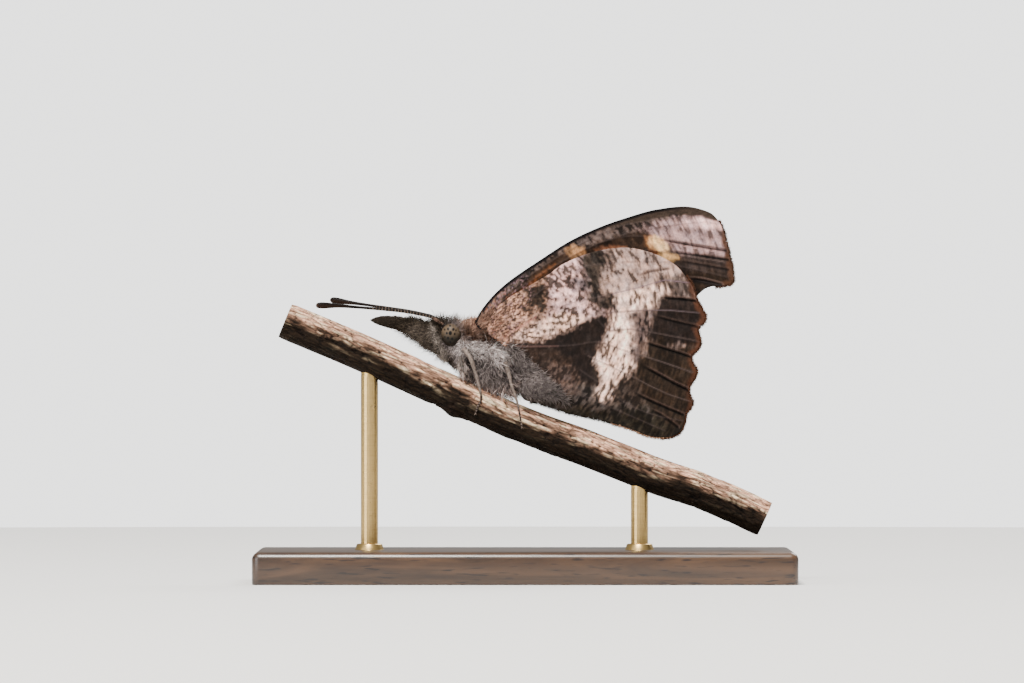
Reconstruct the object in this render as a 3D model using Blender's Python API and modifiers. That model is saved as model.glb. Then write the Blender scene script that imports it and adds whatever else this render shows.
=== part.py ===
"""A snout butterfly at rest on a cut length of twig, life size, on a plain display stand.

+X runs from the head back along the butterfly, +Y to its right side, +Z up. The origin is the
middle of the base's underside. Every size below is in millimetres, and the meshes are brought
to metres as they are made. Pieces that meet keep GAP between their faces.
"""
import math

import bmesh
import bpy
from mathutils import Vector
from mathutils.geometry import delaunay_2d_cdt
from mathutils.kdtree import KDTree

MM = 0.001
GAP = 0.3

# Twig: the middle line of the cut length, as (x, z), and its bark
TWIG_LINE = [(-22.2, 24.2), (-16.2, 21.7), (-11.6, 19.65), (-6.9, 17.5), (-2.3, 15.4),
             (1.4, 13.9), (5.1, 12.6), (8.8, 11.15), (12.5, 9.7), (16.2, 8.5), (19.9, 6.9),
             (22.2, 5.85)]
TWIG_RADIUS = 1.69
TWIG_STEP = 1.1
BUD_SCAR_X = -6.7
BUD_SCAR_RISE = 0.5
BUD_SCAR_LENGTH = 0.8

# Stand: base, and two rods up to the twig
BASE_SIZE = (50.0, 26.0, 3.0)
BASE_EDGE = 0.7
ROD_RADIUS = 0.8
ROD_SIDES = 20
ROD_X = {"front": -14.4, "rear": 10.6}

# Body: one straight axis that slopes back and down beside the twig
BODY_SLOPE = math.radians(23.5)
THORAX_CENTRE = (-4.0, 21.37)
THORAX_LENGTH = 3.4
THORAX_HEIGHT = 2.85
THORAX_DEPTH = 2.72
THORAX_WIDTH = 1.6
THORAX_TOP_TAPER = 0.3
THORAX_BOTTOM_POWER = 4.0

HEAD_CENTRE = (-7.05, 22.72)
HEAD_SIZE = (1.45, 0.8, 1.5)
HEAD_SIDE = 0.55
SNOUT_CUT = (-7.8, 22.7)
SNOUT_CUT_NORMAL = (0.94, 0.34)

EYE_CENTRE = (-6.85, 22.78)
EYE_SIZE = (0.98, 0.6, 1.07)
EYE_INNER = HEAD_SIDE + GAP

# The neck is one slanting cut just behind the eyes
NECK_SLOPE = math.radians(16.0)
NECK_BACK = (math.cos(NECK_SLOPE), -math.sin(NECK_SLOPE))
NECK_BEHIND_EYE = EYE_SIZE[0] + GAP

# Palps: the long snout, one each side, as (x, z, half height) from root to tip
PALP_LINE = [(-7.0, 20.6, 0.9), (-7.9, 21.8, 1.0), (-8.75, 22.72, 1.08), (-9.6, 23.25, 0.94),
             (-10.5, 23.65, 0.75), (-11.6, 23.9, 0.57), (-13.0, 24.13, 0.42), (-13.9, 24.2, 0.28),
             (-14.35, 24.25, 0.1)]
PALP_WIDTH_SHARE = 0.34

ABDOMEN_LINE = [(-1.1, 18.6), (1.4, 17.6), (4.2, 17.0), (6.7, 16.5)]
ABDOMEN_RADIUS = 1.1
ABDOMEN_RINGS = 7
ABDOMEN_RING_DEPTH = 0.05

# Antennae, as (x, y, z, radius); y is counted outwards from the middle plane
ANTENNA_SHAFT = 0.25
ANTENNA_CLUB = 0.3
ANTENNA_ROOT = (-7.9, 0.45)
ANTENNA_UPPER = [(-8.9, 0.55, 24.72, ANTENNA_SHAFT), (-10.7, 0.95, 25.15, ANTENNA_SHAFT),
                 (-12.5, 1.4, 25.42, ANTENNA_SHAFT), (-14.6, 1.95, 25.68, ANTENNA_SHAFT),
                 (-16.2, 2.35, 25.88, ANTENNA_CLUB), (-17.4, 2.65, 26.05, ANTENNA_CLUB),
                 (-17.9, 2.8, 26.12, 0.15)]
ANTENNA_LOWER = [(-8.9, 0.55, 24.7, ANTENNA_SHAFT), (-10.7, 0.95, 25.1, ANTENNA_SHAFT),
                 (-12.5, 1.45, 25.28, ANTENNA_SHAFT), (-15.3, 2.1, 25.46, ANTENNA_SHAFT),
                 (-17.2, 2.6, 25.57, ANTENNA_CLUB), (-18.6, 2.95, 25.6, ANTENNA_CLUB),
                 (-19.15, 3.1, 25.6, 0.15)]

# Legs, as (x, z, radius) from the body down to the foot; the clearance sets how far out they run
LEG_REACH = 1.3
LEG_THIGH = 0.3
LEG_SHANK = 0.26
LEG_FOOT = 0.16
LEG_SIDES = {
    "foreleg": [(-5.95, 20.85, 0.25), (-5.9, 20.2, 0.25), (-5.55, 19.3, 0.25), (-5.3, 18.85, 0.14)],
    "midleg": [(-5.7, 21.65, LEG_THIGH), (-5.05, 20.7, LEG_THIGH), (-4.6, 19.4, LEG_SHANK),
               (-4.2, 17.95, LEG_SHANK), (-4.05, 16.95, LEG_SHANK), (-4.35, 16.3, 0.22),
               (-4.55, 15.65, LEG_FOOT)],
    "hindleg": [(-1.85, 20.35, LEG_THIGH), (-1.45, 19.1, LEG_THIGH), (-1.2, 18.0, LEG_SHANK),
                (-0.75, 16.75, LEG_SHANK), (-0.5, 15.6, 0.24), (-0.3, 14.4, LEG_FOOT)],
}

# Wings, as (x, z) from the wing root
WING_ROOT = (-4.17, 23.33)
WING_HINGE = (-3.9, 22.9)
MEMBRANE = 0.5
MARGIN_THICKNESS = 0.34
MARGIN_WIDTH = 0.7
VEIN_RISE = 0.12
VEIN_FOOT = 0.34
EDGE_STEP = 0.5
VEIN_STEP = 1.2
GRID_STEP = 1.3

FOREWING_LAYER = GAP / 2
FOREWING_FLARE = 1.3
FLARE_REACH = 1.6
HINDWING_LAYER = FOREWING_LAYER + MEMBRANE + VEIN_RISE + GAP + 0.05
WING_CLEAR = GAP + 0.1
BLEND = 0.3

FOREWING_OUTLINE = [
    # leading edge from the root, and the square apex
    (-0.37, 0.93), (0.93, 2.87), (2.78, 4.58), (5.56, 6.48), (8.33, 8.24), (11.11, 9.54),
    (13.89, 10.5), (16.2, 11.13), (18.98, 11.44), (20.93, 11.02), (21.85, 10.4),
    # outer edge down to the hooked tip, and the bay under it
    (22.5, 9.26), (23.01, 7.22), (23.43, 5.2), (23.29, 4.35), (22.3, 4.08), (20.74, 3.75),
    # hidden by the hindwing: hind corner and inner edge, back to the root
    (18.3, 1.1), (17.4, -0.65), (16.2, -2.0), (13.0, -1.9), (8.3, -1.3), (5.6, -0.4),
    (3.6, 1.0), (2.35, 2.15), (1.15, 2.25), (0.45, 1.15), (0.05, 0.1),
]
FOREWING_VEINS = [
    [(0.2, 1.2), (2.9, 3.9), (6.5, 6.45), (11.2, 8.95), (13.6, 9.85)],
    [(0.3, 1.0), (3.1, 3.4), (7.4, 6.2), (11.2, 8.1), (15.6, 9.5), (19.6, 10.3), (21.3, 10.2)],
    [(11.2, 8.1), (14.0, 8.4), (17.2, 8.2), (22.2, 7.3)],
    [(12.5, 7.4), (16.2, 7.35), (19.4, 6.9), (22.6, 6.55)],
    [(12.9, 6.5), (17.8, 6.4), (20.4, 5.95), (22.9, 5.45)],
    [(7.4, 4.3), (12.0, 5.8), (16.2, 5.35), (19.6, 4.75), (22.3, 4.4)],
    [(3.0, 2.7), (7.4, 4.3), (10.2, 4.2), (14.8, 3.4), (18.6, 2.2)],
    [(5.6, 0.4), (9.0, 0.2), (13.0, -0.5), (16.2, -1.4)],
]

HINDWING_OUTLINE = [
    # front edge from the root
    (0.85, -0.15), (1.15, 0.95), (1.9, 2.25), (2.95, 3.45), (4.63, 4.91), (6.30, 5.93),
    (7.87, 6.57), (9.54, 7.18), (11.11, 7.50), (13.43, 7.64), (15.28, 7.36), (16.67, 6.85),
    (18.06, 6.02), (19.07, 4.91), (19.75, 3.80),
    # scalloped outer edge, each lobe from its notch round its tip
    (20.0, 2.85), (20.56, 1.85), (20.85, 1.25), (20.6, 0.6),
    (20.14, 0.15), (20.25, -0.6), (20.37, -1.2), (20.1, -1.8),
    (19.55, -2.35), (19.65, -3.1), (20.03, -3.75), (19.75, -4.55),
    (19.31, -5.3), (19.38, -6.1), (19.63, -6.7), (19.5, -7.2),
    (19.05, -7.65), (18.94, -8.33), (18.6, -9.3), (18.0, -9.75),
    # the edge below the abdomen
    (16.94, -9.93), (15.56, -9.77), (13.89, -9.12), (11.11, -8.29), (8.33, -7.69),
    (5.56, -6.99), (3.9, -6.55),
    # edge beside the thorax
    (3.75, -3.9), (2.95, -2.05), (1.5, -0.95),
]
HINDWING_VEINS = [
    [(1.4, -0.2), (4.63, 2.78), (8.33, 5.37), (12.96, 6.30), (17.4, 6.2)],
    [(1.6, -0.5), (4.9, 1.1), (8.33, 2.5), (12.7, 3.52), (15.0, 3.98), (17.1, 4.63), (19.1, 4.3)],
    [(11.1, 1.57), (14.8, 1.85), (18.5, 1.6), (20.2, 1.35)],
    [(11.1, 0.74), (13.0, 0.19), (15.3, -0.19), (18.8, -0.83), (19.9, -1.0)],
    [(2.2, -1.5), (7.4, -1.48), (11.1, -1.11), (14.8, -2.3), (16.7, -2.96), (19.5, -3.7)],
    [(10.2, -2.4), (12.5, -3.5), (15.7, -5.2), (17.6, -6.0), (19.2, -6.6)],
    [(9.26, -3.7), (11.1, -5.0), (14.8, -7.8), (16.2, -8.5), (18.4, -8.4)],
    [(4.3, -3.2), (9.3, -5.8), (14.8, -8.4), (16.8, -9.2)],
]

COLOURS = {
    "bark": ((0.42, 0.30, 0.22), 0.85, 0.0),
    "walnut": ((0.16, 0.085, 0.045), 0.45, 0.0),
    "brass": ((0.72, 0.55, 0.28), 0.35, 1.0),
    "hair": ((0.33, 0.30, 0.29), 0.9, 0.0),
    "palp": ((0.16, 0.13, 0.12), 0.9, 0.0),
    "eye": ((0.30, 0.27, 0.17), 0.25, 0.0),
    "antenna": ((0.05, 0.035, 0.03), 0.5, 0.0),
    "leg": ((0.36, 0.31, 0.29), 0.8, 0.0),
    "forewing": ((0.24, 0.18, 0.16), 0.8, 0.0),
    "hindwing": ((0.30, 0.25, 0.24), 0.8, 0.0),
}


def material(name):
    """The Principled material of one of COLOURS, made once."""
    made = bpy.data.materials.get(name)
    if made is None:
        colour, roughness, metallic = COLOURS[name]
        made = bpy.data.materials.new(name)
        made.use_nodes = True
        shader = made.node_tree.nodes["Principled BSDF"]
        shader.inputs["Base Color"].default_value = (*colour, 1.0)
        shader.inputs["Roughness"].default_value = roughness
        shader.inputs["Metallic"].default_value = metallic
    return made


def add_part(name, bm, colour):
    """A node of the model from a bmesh in millimetres."""
    bmesh.ops.scale(bm, vec=(MM, MM, MM), verts=bm.verts)
    mesh = bpy.data.meshes.new(name)
    bm.to_mesh(mesh)
    bm.free()
    mesh.shade_smooth()
    mesh.set_sharp_from_angle(angle=math.radians(40))
    mesh.materials.append(material(colour))
    part = bpy.data.objects.new(name, mesh)
    collection.objects.link(part)
    return part


def curve_through(points, step, closed=False):
    """Points about `step` apart on a smooth curve through `points`, each a tuple of any size."""
    count = len(points)
    spans = count if closed else count - 1
    made = []
    for i in range(spans):
        if closed:
            a, b, c, d = (Vector(points[(i + k - 1) % count]) for k in range(4))
        else:
            a, b, c, d = (Vector(points[min(max(i + k - 1, 0), count - 1)]) for k in range(4))
        pieces = max(1, round((c - b).length / step))
        for j in range(pieces):
            t = j / pieces
            made.append(tuple(0.5 * (2 * b + (c - a) * t + (2 * a - 5 * b + 4 * c - d) * t * t
                                     + (3 * b - a - 3 * c + d) * t ** 3)))
    if not closed:
        made.append(tuple(points[-1]))
    return made


def tube(points, sides_level=2):
    """A bmesh in millimetres: a closed tube along (x, y, z, radius) points."""
    curve = bpy.data.curves.new("tube", "CURVE")
    curve.dimensions = "3D"
    curve.bevel_depth = 1.0
    curve.bevel_resolution = sides_level
    curve.use_fill_caps = True
    spline = curve.splines.new("POLY")
    spline.points.add(len(points) - 1)
    for point, (x, y, z, radius) in zip(spline.points, points):
        point.co = (x, y, z, 1.0)
        point.radius = radius
    holder = bpy.data.objects.new("tube", curve)
    collection.objects.link(holder)
    evaluated = holder.evaluated_get(bpy.context.evaluated_depsgraph_get())
    mesh = bpy.data.meshes.new_from_object(evaluated)
    bm = bmesh.new()
    bm.from_mesh(mesh)
    bmesh.ops.remove_doubles(bm, verts=bm.verts, dist=0.001)
    bpy.data.objects.remove(holder)
    bpy.data.curves.remove(curve)
    bpy.data.meshes.remove(mesh)
    return bm


def ball(size, centre=(0.0, 0.0), segments=20, rings=12):
    """A bmesh ovoid with half sizes `size`, its poles left and right, at (x, z) `centre`."""
    bm = bmesh.new()
    bmesh.ops.create_uvsphere(bm, u_segments=segments, v_segments=rings, radius=1.0)
    for vert in bm.verts:
        x, y, z = vert.co.z, vert.co.y, -vert.co.x
        vert.co = (centre[0] + size[0] * x, size[1] * y, centre[1] + size[2] * z)
    return bm


def cut_away(bm, point, normal):
    """Cuts off what lies on the side of the (x, z) plane that its normal points to."""
    geometry = bm.verts[:] + bm.edges[:] + bm.faces[:]
    cut = bmesh.ops.bisect_plane(bm, geom=geometry, plane_co=(point[0], 0.0, point[1]),
                                 plane_no=(normal[0], 0.0, normal[1]), clear_outer=True)
    rim = [item for item in cut["geom_cut"] if isinstance(item, bmesh.types.BMEdge)]
    bmesh.ops.contextual_create(bm, geom=rim)


def set_side(bm, side):
    """Mirrors a bmesh made for the right side when `side` is -1, the left."""
    if side < 0:
        bmesh.ops.scale(bm, vec=(1.0, -1.0, 1.0), verts=bm.verts)
        bmesh.ops.reverse_faces(bm, faces=bm.faces)


def body_axes(x, z):
    """How far a point lies behind and above the thorax's centre, along the body's own axes."""
    dx, dz = x - THORAX_CENTRE[0], z - THORAX_CENTRE[1]
    behind = dx * math.cos(BODY_SLOPE) - dz * math.sin(BODY_SLOPE)
    above = dx * math.sin(BODY_SLOPE) + dz * math.cos(BODY_SLOPE)
    return behind, above


def from_body_axes(behind, above):
    x = THORAX_CENTRE[0] + behind * math.cos(BODY_SLOPE) + above * math.sin(BODY_SLOPE)
    z = THORAX_CENTRE[1] - behind * math.sin(BODY_SLOPE) + above * math.cos(BODY_SLOPE)
    return x, z


def thorax_half_width(x, z, grow=0.0):
    """Half the width of the thorax, grown all round by `grow`, where a line along Y meets it."""
    behind, above = body_axes(x, z)
    power = 2.0 if above > 0 else THORAX_BOTTOM_POWER
    height = (THORAX_HEIGHT if above > 0 else THORAX_DEPTH) + grow
    across = (abs(behind) / (THORAX_LENGTH + grow)) ** power + (abs(above) / height) ** power
    across = across ** (2.0 / power)
    if across >= 1.0:
        return 0.0
    narrowing = 1.0 - THORAX_TOP_TAPER * max(0.0, above / height)
    return (THORAX_WIDTH + grow) * narrowing * math.sqrt(1.0 - across)


def distance_to_line(x, z, line):
    """The distance from a point to a line of (x, z) points."""
    best = math.inf
    for (ax, az), (bx, bz) in zip(line, line[1:]):
        span = (bx - ax) ** 2 + (bz - az) ** 2
        t = min(1.0, max(0.0, ((x - ax) * (bx - ax) + (z - az) * (bz - az)) / span))
        best = min(best, math.hypot(x - ax - t * (bx - ax), z - az - t * (bz - az)))
    return best


def tube_half_width(x, z, line, radius):
    """Half the width of a round bar along `line` where a line along Y meets it."""
    return math.sqrt(max(0.0, radius ** 2 - distance_to_line(x, z, line) ** 2))


def twig_height(x):
    """The height of the twig's middle line."""
    for (ax, az), (bx, bz) in zip(TWIG_LINE, TWIG_LINE[1:]):
        if ax <= x <= bx:
            return az + (bz - az) * (x - ax) / (bx - ax)
    return TWIG_LINE[-1][1]


def blended_top(a, b):
    """The larger of two numbers, with a soft change from one to the other."""
    return 0.5 * (a + b + math.sqrt((a - b) ** 2 + BLEND ** 2))


def make_twig():
    line = curve_through(TWIG_LINE, TWIG_STEP)
    bm = tube([(x, 0.0, z, TWIG_RADIUS) for x, z in line], sides_level=4)
    for vert in bm.verts:
        middle = Vector((vert.co.x, 0.0, twig_height(vert.co.x)))
        out = vert.co - middle
        if out.length > TWIG_RADIUS / 2 and out.z < 0:
            along = (vert.co.x - BUD_SCAR_X) / BUD_SCAR_LENGTH
            swell = BUD_SCAR_RISE * math.exp(-along ** 2) * (-out.normalized().z) ** 2
            vert.co += out.normalized() * swell
    add_part("twig_perch", bm, "bark")


def make_stand():
    bm = bmesh.new()
    bmesh.ops.create_cube(bm, size=1.0)
    bmesh.ops.scale(bm, vec=BASE_SIZE, verts=bm.verts)
    bmesh.ops.translate(bm, vec=(0.0, 0.0, BASE_SIZE[2] / 2), verts=bm.verts)
    upper = [edge for edge in bm.edges if max(v.co.z for v in edge.verts) > BASE_SIZE[2] / 2]
    bmesh.ops.bevel(bm, geom=upper, offset=BASE_EDGE, offset_type="OFFSET", segments=3,
                    profile=0.5, affect="EDGES", material=-1)
    add_part("stand_base", bm, "walnut")
    slope = math.atan2(TWIG_LINE[0][1] - TWIG_LINE[-1][1], TWIG_LINE[-1][0] - TWIG_LINE[0][0])
    for name, middle in ROD_X.items():
        bm = bmesh.new()
        bmesh.ops.create_cone(bm, segments=ROD_SIDES, radius1=ROD_RADIUS, radius2=ROD_RADIUS,
                              depth=2.0, cap_ends=True, cap_tris=True)
        foot = BASE_SIZE[2] + GAP
        for vert in bm.verts:
            x = middle + vert.co.x
            saddle = math.sqrt((TWIG_RADIUS + GAP) ** 2 - vert.co.y ** 2) / math.cos(slope)
            top = twig_height(x) - saddle
            vert.co = (x, vert.co.y, top if vert.co.z > 0 else foot)
        add_part("stand_rod_" + name, bm, "brass")


def make_thorax():
    bm = ball((1.0, 1.0, 1.0), segments=28, rings=16)
    for vert in bm.verts:
        behind, across, above = vert.co
        power = 2.0 if above > 0 else THORAX_BOTTOM_POWER
        reach = math.hypot(behind, above)
        if reach > 0:
            fuller = reach / (abs(behind) ** power + abs(above) ** power) ** (1.0 / power)
            behind, above = behind * fuller, above * fuller
        narrowing = 1.0 - THORAX_TOP_TAPER * max(0.0, above)
        height = THORAX_HEIGHT if above > 0 else THORAX_DEPTH
        x, z = from_body_axes(behind * THORAX_LENGTH, above * height)
        vert.co = (x, across * THORAX_WIDTH * narrowing, z)
    cut_away(bm, neck_plane(GAP / 2), (-NECK_BACK[0], -NECK_BACK[1]))
    add_part("thorax", bm, "hair")


def snout_plane(offset):
    """A point on the cut between head and palps, moved back by `offset`."""
    return SNOUT_CUT[0] + offset * SNOUT_CUT_NORMAL[0], SNOUT_CUT[1] + offset * SNOUT_CUT_NORMAL[1]


def neck_plane(offset):
    """A point on the cut between head and thorax, moved back by `offset`."""
    reach = NECK_BEHIND_EYE + offset
    return EYE_CENTRE[0] + reach * NECK_BACK[0], EYE_CENTRE[1] + reach * NECK_BACK[1]


def make_head():
    bm = ball(HEAD_SIZE, HEAD_CENTRE, segments=24, rings=14)
    for vert in bm.verts:
        vert.co.y = min(HEAD_SIDE, max(-HEAD_SIDE, vert.co.y))
    cut_away(bm, neck_plane(-GAP / 2), NECK_BACK)
    cut_away(bm, snout_plane(GAP / 2), (-SNOUT_CUT_NORMAL[0], -SNOUT_CUT_NORMAL[1]))
    add_part("head", bm, "hair")
    for side, name in ((1, "right"), (-1, "left")):
        bm = ball(EYE_SIZE, EYE_CENTRE, segments=18, rings=12)
        for vert in bm.verts:
            vert.co.y = EYE_INNER + max(0.0, vert.co.y)
        bmesh.ops.remove_doubles(bm, verts=bm.verts, dist=0.001)
        set_side(bm, side)
        add_part("eye_" + name, bm, "eye")


def make_palps():
    for side, name in ((1, "right"), (-1, "left")):
        line = curve_through([(x, 0.0, z, half) for x, z, half in PALP_LINE], 0.6)
        bm = tube(line, sides_level=3)
        widest = PALP_WIDTH_SHARE * max(half for x, z, half in PALP_LINE)
        for vert in bm.verts:
            vert.co.y = GAP / 2 + widest + vert.co.y * PALP_WIDTH_SHARE
        cut_away(bm, snout_plane(-GAP / 2), SNOUT_CUT_NORMAL)
        cut_away(bm, neck_plane(-GAP / 2), NECK_BACK)
        set_side(bm, side)
        add_part("palp_" + name, bm, "palp")


def make_antennae():
    for side, name, line in ((1, "right", ANTENNA_UPPER), (-1, "left", ANTENNA_LOWER)):
        x, y = ANTENNA_ROOT
        bare = 1.0 - ((x - HEAD_CENTRE[0]) / HEAD_SIZE[0]) ** 2 - (y / HEAD_SIZE[1]) ** 2
        top = HEAD_CENTRE[1] + HEAD_SIZE[2] * math.sqrt(bare)
        root = (x, y, top + GAP + ANTENNA_SHAFT, ANTENNA_SHAFT)
        bm = tube(curve_through([root] + line, 0.9))
        set_side(bm, side)
        add_part("antenna_" + name, bm, "antenna")


def make_abdomen():
    line = curve_through(ABDOMEN_LINE, 0.45)
    sections = []
    for i, (x, z) in enumerate(line):
        t = i / (len(line) - 1)
        radius = ABDOMEN_RADIUS * (1.0 - 0.55 * t ** 3) * math.sqrt(1.0 - t ** 8 * 0.85)
        radius -= ABDOMEN_RING_DEPTH * (1.0 + math.cos(2 * math.pi * ABDOMEN_RINGS * t))
        sections.append((x, 0.0, z, radius))
    bm = tube(sections, sides_level=3)
    for vert in bm.verts:
        behind, above = body_axes(vert.co.x, vert.co.z)
        edge = thorax_rear(above) + GAP
        if behind < edge:
            x, z = from_body_axes(edge, above)
            vert.co = (x, vert.co.y, z)
    add_part("abdomen", bm, "hair")


def thorax_rear(above):
    """How far behind its centre the thorax reaches at a height above its axis."""
    power = 2.0 if above > 0 else THORAX_BOTTOM_POWER
    height = THORAX_HEIGHT if above > 0 else THORAX_DEPTH
    share = max(0.0, 1.0 - (abs(above) / height) ** power)
    return THORAX_LENGTH * share ** (1.0 / power)


def make_legs():
    for name, line in LEG_SIDES.items():
        points = []
        for x, z, radius in curve_through(line, 0.8):
            clear = GAP + radius
            thorax = thorax_half_width(x, z, clear)
            twig = tube_half_width(x, z, TWIG_LINE, TWIG_RADIUS + clear)
            points.append((x, max(LEG_REACH, thorax, twig) + 0.03, z, radius))
        for side, side_name in ((1, "right"), (-1, "left")):
            bm = tube(points)
            set_side(bm, side)
            add_part(name + "_" + side_name, bm, "leg")


def forewing_inner(x, z):
    """How far the forewing's inner face lies from the middle plane."""
    reach = math.hypot(x - WING_HINGE[0], z - WING_HINGE[1]) / FLARE_REACH
    flare = FOREWING_LAYER + FOREWING_FLARE * math.exp(-reach ** 2)
    return max(flare, thorax_half_width(x, z, WING_CLEAR))


def hindwing_inner(x, z):
    """The same for the hindwing, which bulges over the thorax and the abdomen."""
    over_thorax = thorax_half_width(x, z, WING_CLEAR)
    over_abdomen = tube_half_width(x, z, ABDOMEN_LINE, ABDOMEN_RADIUS + WING_CLEAR)
    return blended_top(HINDWING_LAYER, max(over_thorax, over_abdomen))


def far_from(points, others, distance):
    """Those of `points` that keep `distance` from `others` and from one another."""
    kept = []
    tree = KDTree(len(others))
    for i, (x, z) in enumerate(others):
        tree.insert((x, z, 0.0), i)
    tree.balance()
    for x, z in points:
        clear = not others or tree.find((x, z, 0.0))[2] >= distance
        if clear and all(math.hypot(x - a, z - b) >= distance for a, b in kept):
            kept.append((x, z))
    return kept


def inside(x, z, outline):
    """Whether a point lies inside a closed outline."""
    crossings = 0
    for (ax, az), (bx, bz) in zip(outline, outline[1:] + outline[:1]):
        if (az > z) != (bz > z) and x < ax + (bx - ax) * (z - az) / (bz - az):
            crossings += 1
    return crossings % 2 == 1


def vein_feet(line):
    """Points on both sides of a vein, VEIN_FOOT from its crest."""
    feet = []
    for (ax, az), (bx, bz) in zip(line, line[1:]):
        length = math.hypot(bx - ax, bz - az)
        across = (-(bz - az) / length * VEIN_FOOT, (bx - ax) / length * VEIN_FOOT)
        feet += [(ax + across[0], az + across[1]), (ax - across[0], az - across[1])]
    return feet


def wing_points(outline, veins):
    """The points of one wing and the edges to keep: outline, vein crests and feet, and filling."""
    points = list(outline)
    edges = [(i, (i + 1) % len(outline)) for i in range(len(outline))]
    for line in veins:
        first = len(points)
        points += line
        edges += [(first + i, first + i + 1) for i in range(len(line) - 1)]
    feet = [foot for line in veins for foot in vein_feet(line)]
    border = outline + outline[:1]
    feet = [foot for foot in feet if inside(*foot, outline)
            and distance_to_line(*foot, border) > VEIN_FOOT]
    points += far_from(feet, points, 0.8 * VEIN_FOOT)
    xs, zs = [x for x, z in outline], [z for x, z in outline]
    filling = []
    for row in range(math.ceil((max(zs) - min(zs)) / GRID_STEP)):
        for column in range(math.ceil((max(xs) - min(xs)) / GRID_STEP) + 1):
            x = min(xs) + (column + 0.5 * (row % 2)) * GRID_STEP
            z = min(zs) + (row + 0.5) * GRID_STEP
            if inside(x, z, outline) and distance_to_line(x, z, border) > MARGIN_WIDTH:
                filling.append((x, z))
    points += far_from(filling, points, 0.55 * GRID_STEP)
    return points, edges


def make_wing(name, outline, veins, inner_face, colour):
    """Both wings of a pair: a smooth inner face, thickened outwards with the veins raised."""
    placed = [(x + WING_ROOT[0], z + WING_ROOT[1]) for x, z in outline]
    border = curve_through(placed, EDGE_STEP, closed=True)
    crests = [curve_through([(x + WING_ROOT[0], z + WING_ROOT[1]) for x, z in vein], VEIN_STEP)
              for vein in veins]
    points, edges = wing_points(border, crests)
    flat, _, faces, *_ = delaunay_2d_cdt([Vector(point) for point in points], edges, [], 1, 1e-5)
    closed_border = border + border[:1]
    fullest = MEMBRANE + VEIN_RISE
    for side, side_name in ((1, "right"), (-1, "left")):
        bm = bmesh.new()
        verts = [bm.verts.new((x, inner_face(x, z), z)) for x, z in flat]
        for corners in faces:
            bm.faces.new([verts[i] for i in reversed(corners)])
        set_side(bm, side)
        part = add_part(name + "_" + side_name, bm, colour)
        group = part.vertex_groups.new(name="thickness")
        for i, (x, z) in enumerate(flat):
            rise = VEIN_RISE * max(0.0, 1.0 - min(distance_to_line(x, z, crest)
                                                  for crest in crests) / VEIN_FOOT)
            margin = min(1.0, distance_to_line(x, z, closed_border) / MARGIN_WIDTH)
            thickness = MARGIN_THICKNESS + (MEMBRANE - MARGIN_THICKNESS) * margin + rise * margin
            group.add([i], thickness / fullest, "REPLACE")
        shell = part.modifiers.new("thickness", "SOLIDIFY")
        shell.thickness = fullest * MM
        shell.offset = 1.0
        shell.vertex_group = group.name
        shell.use_even_offset = False


for old in list(bpy.data.objects):
    bpy.data.objects.remove(old)
collection = bpy.data.collections.new("snout butterfly")
bpy.context.scene.collection.children.link(collection)

make_twig()
make_stand()
make_thorax()
make_abdomen()
make_head()
make_palps()
make_antennae()
make_legs()
make_wing("forewing", FOREWING_OUTLINE, FOREWING_VEINS, forewing_inner, "forewing")
make_wing("hindwing", HINDWING_OUTLINE, HINDWING_VEINS, hindwing_inner, "hindwing")
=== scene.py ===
import math

import bmesh
import bpy
import numpy as np
from mathutils import Matrix, Vector


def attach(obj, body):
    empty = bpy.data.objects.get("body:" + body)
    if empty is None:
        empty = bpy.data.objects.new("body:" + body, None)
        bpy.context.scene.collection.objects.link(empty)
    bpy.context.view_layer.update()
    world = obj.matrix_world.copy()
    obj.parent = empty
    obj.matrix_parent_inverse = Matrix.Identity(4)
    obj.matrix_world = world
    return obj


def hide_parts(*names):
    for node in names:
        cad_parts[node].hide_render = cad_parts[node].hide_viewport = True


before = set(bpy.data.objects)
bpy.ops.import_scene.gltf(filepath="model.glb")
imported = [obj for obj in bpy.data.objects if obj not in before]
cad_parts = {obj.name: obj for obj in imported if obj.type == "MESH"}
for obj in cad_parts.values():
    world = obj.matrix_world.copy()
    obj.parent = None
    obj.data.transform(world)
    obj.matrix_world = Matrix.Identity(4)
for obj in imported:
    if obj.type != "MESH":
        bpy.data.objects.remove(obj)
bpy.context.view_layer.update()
mm = 0.001  # metres in a millimetre: sizes and places below are in millimetres
sides = (("left", -1), ("right", 1))

# The photo's scale, which places the markings: pixels a millimetre, and the pixel of x = 0, z = 0
photo = {"scale": 10.8, "column": 525.0, "row": 582.0, "width": 1024.0, "height": 683.0}


def atPixels(points):
    # photo pixels to (x, z)
    spots = np.array(points, dtype=float)
    return (spots - (photo["column"], photo["row"])) / (photo["scale"], -photo["scale"])


def toPixels(x, z):
    return np.column_stack([photo["column"] + photo["scale"] * x, photo["row"] - photo["scale"] * z])


# How bright a grey must be lit to come out at each screen level, in the usual view
screen = {"levels": [0, 15, 25, 38, 55, 78, 107, 124, 140, 155, 168, 181, 192, 202, 211, 219, 226, 232, 243],
          "light": [0.0005, 0.0078, 0.0141, 0.0254, 0.0459, 0.0827, 0.1492, 0.2004, 0.2691, 0.3615,
                    0.4855, 0.652, 0.8757, 1.1761, 1.5796, 2.1215, 2.8494, 3.8269, 6.9031],
          "lit": 3.0}


def paint(red, green, blue):
    # the surface colour that comes out as a screen colour, 0 to 255, under the studio's light
    light = np.interp((red, green, blue), screen["levels"], np.log(screen["light"]))
    return np.minimum(0.88, np.exp(light) / screen["lit"])


def coatOf(colour, count):
    return np.tile(paint(*colour), (count, 1))


def tint(colours, colour, share):
    # lays a paint over the colours, by a share for each point
    colours += (paint(*colour) - colours) * share[:, None]


def ease(low, high, value):
    t = np.clip((value - low) / (high - low), 0.0, 1.0)
    return t * t * (3.0 - 2.0 * t)


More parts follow.
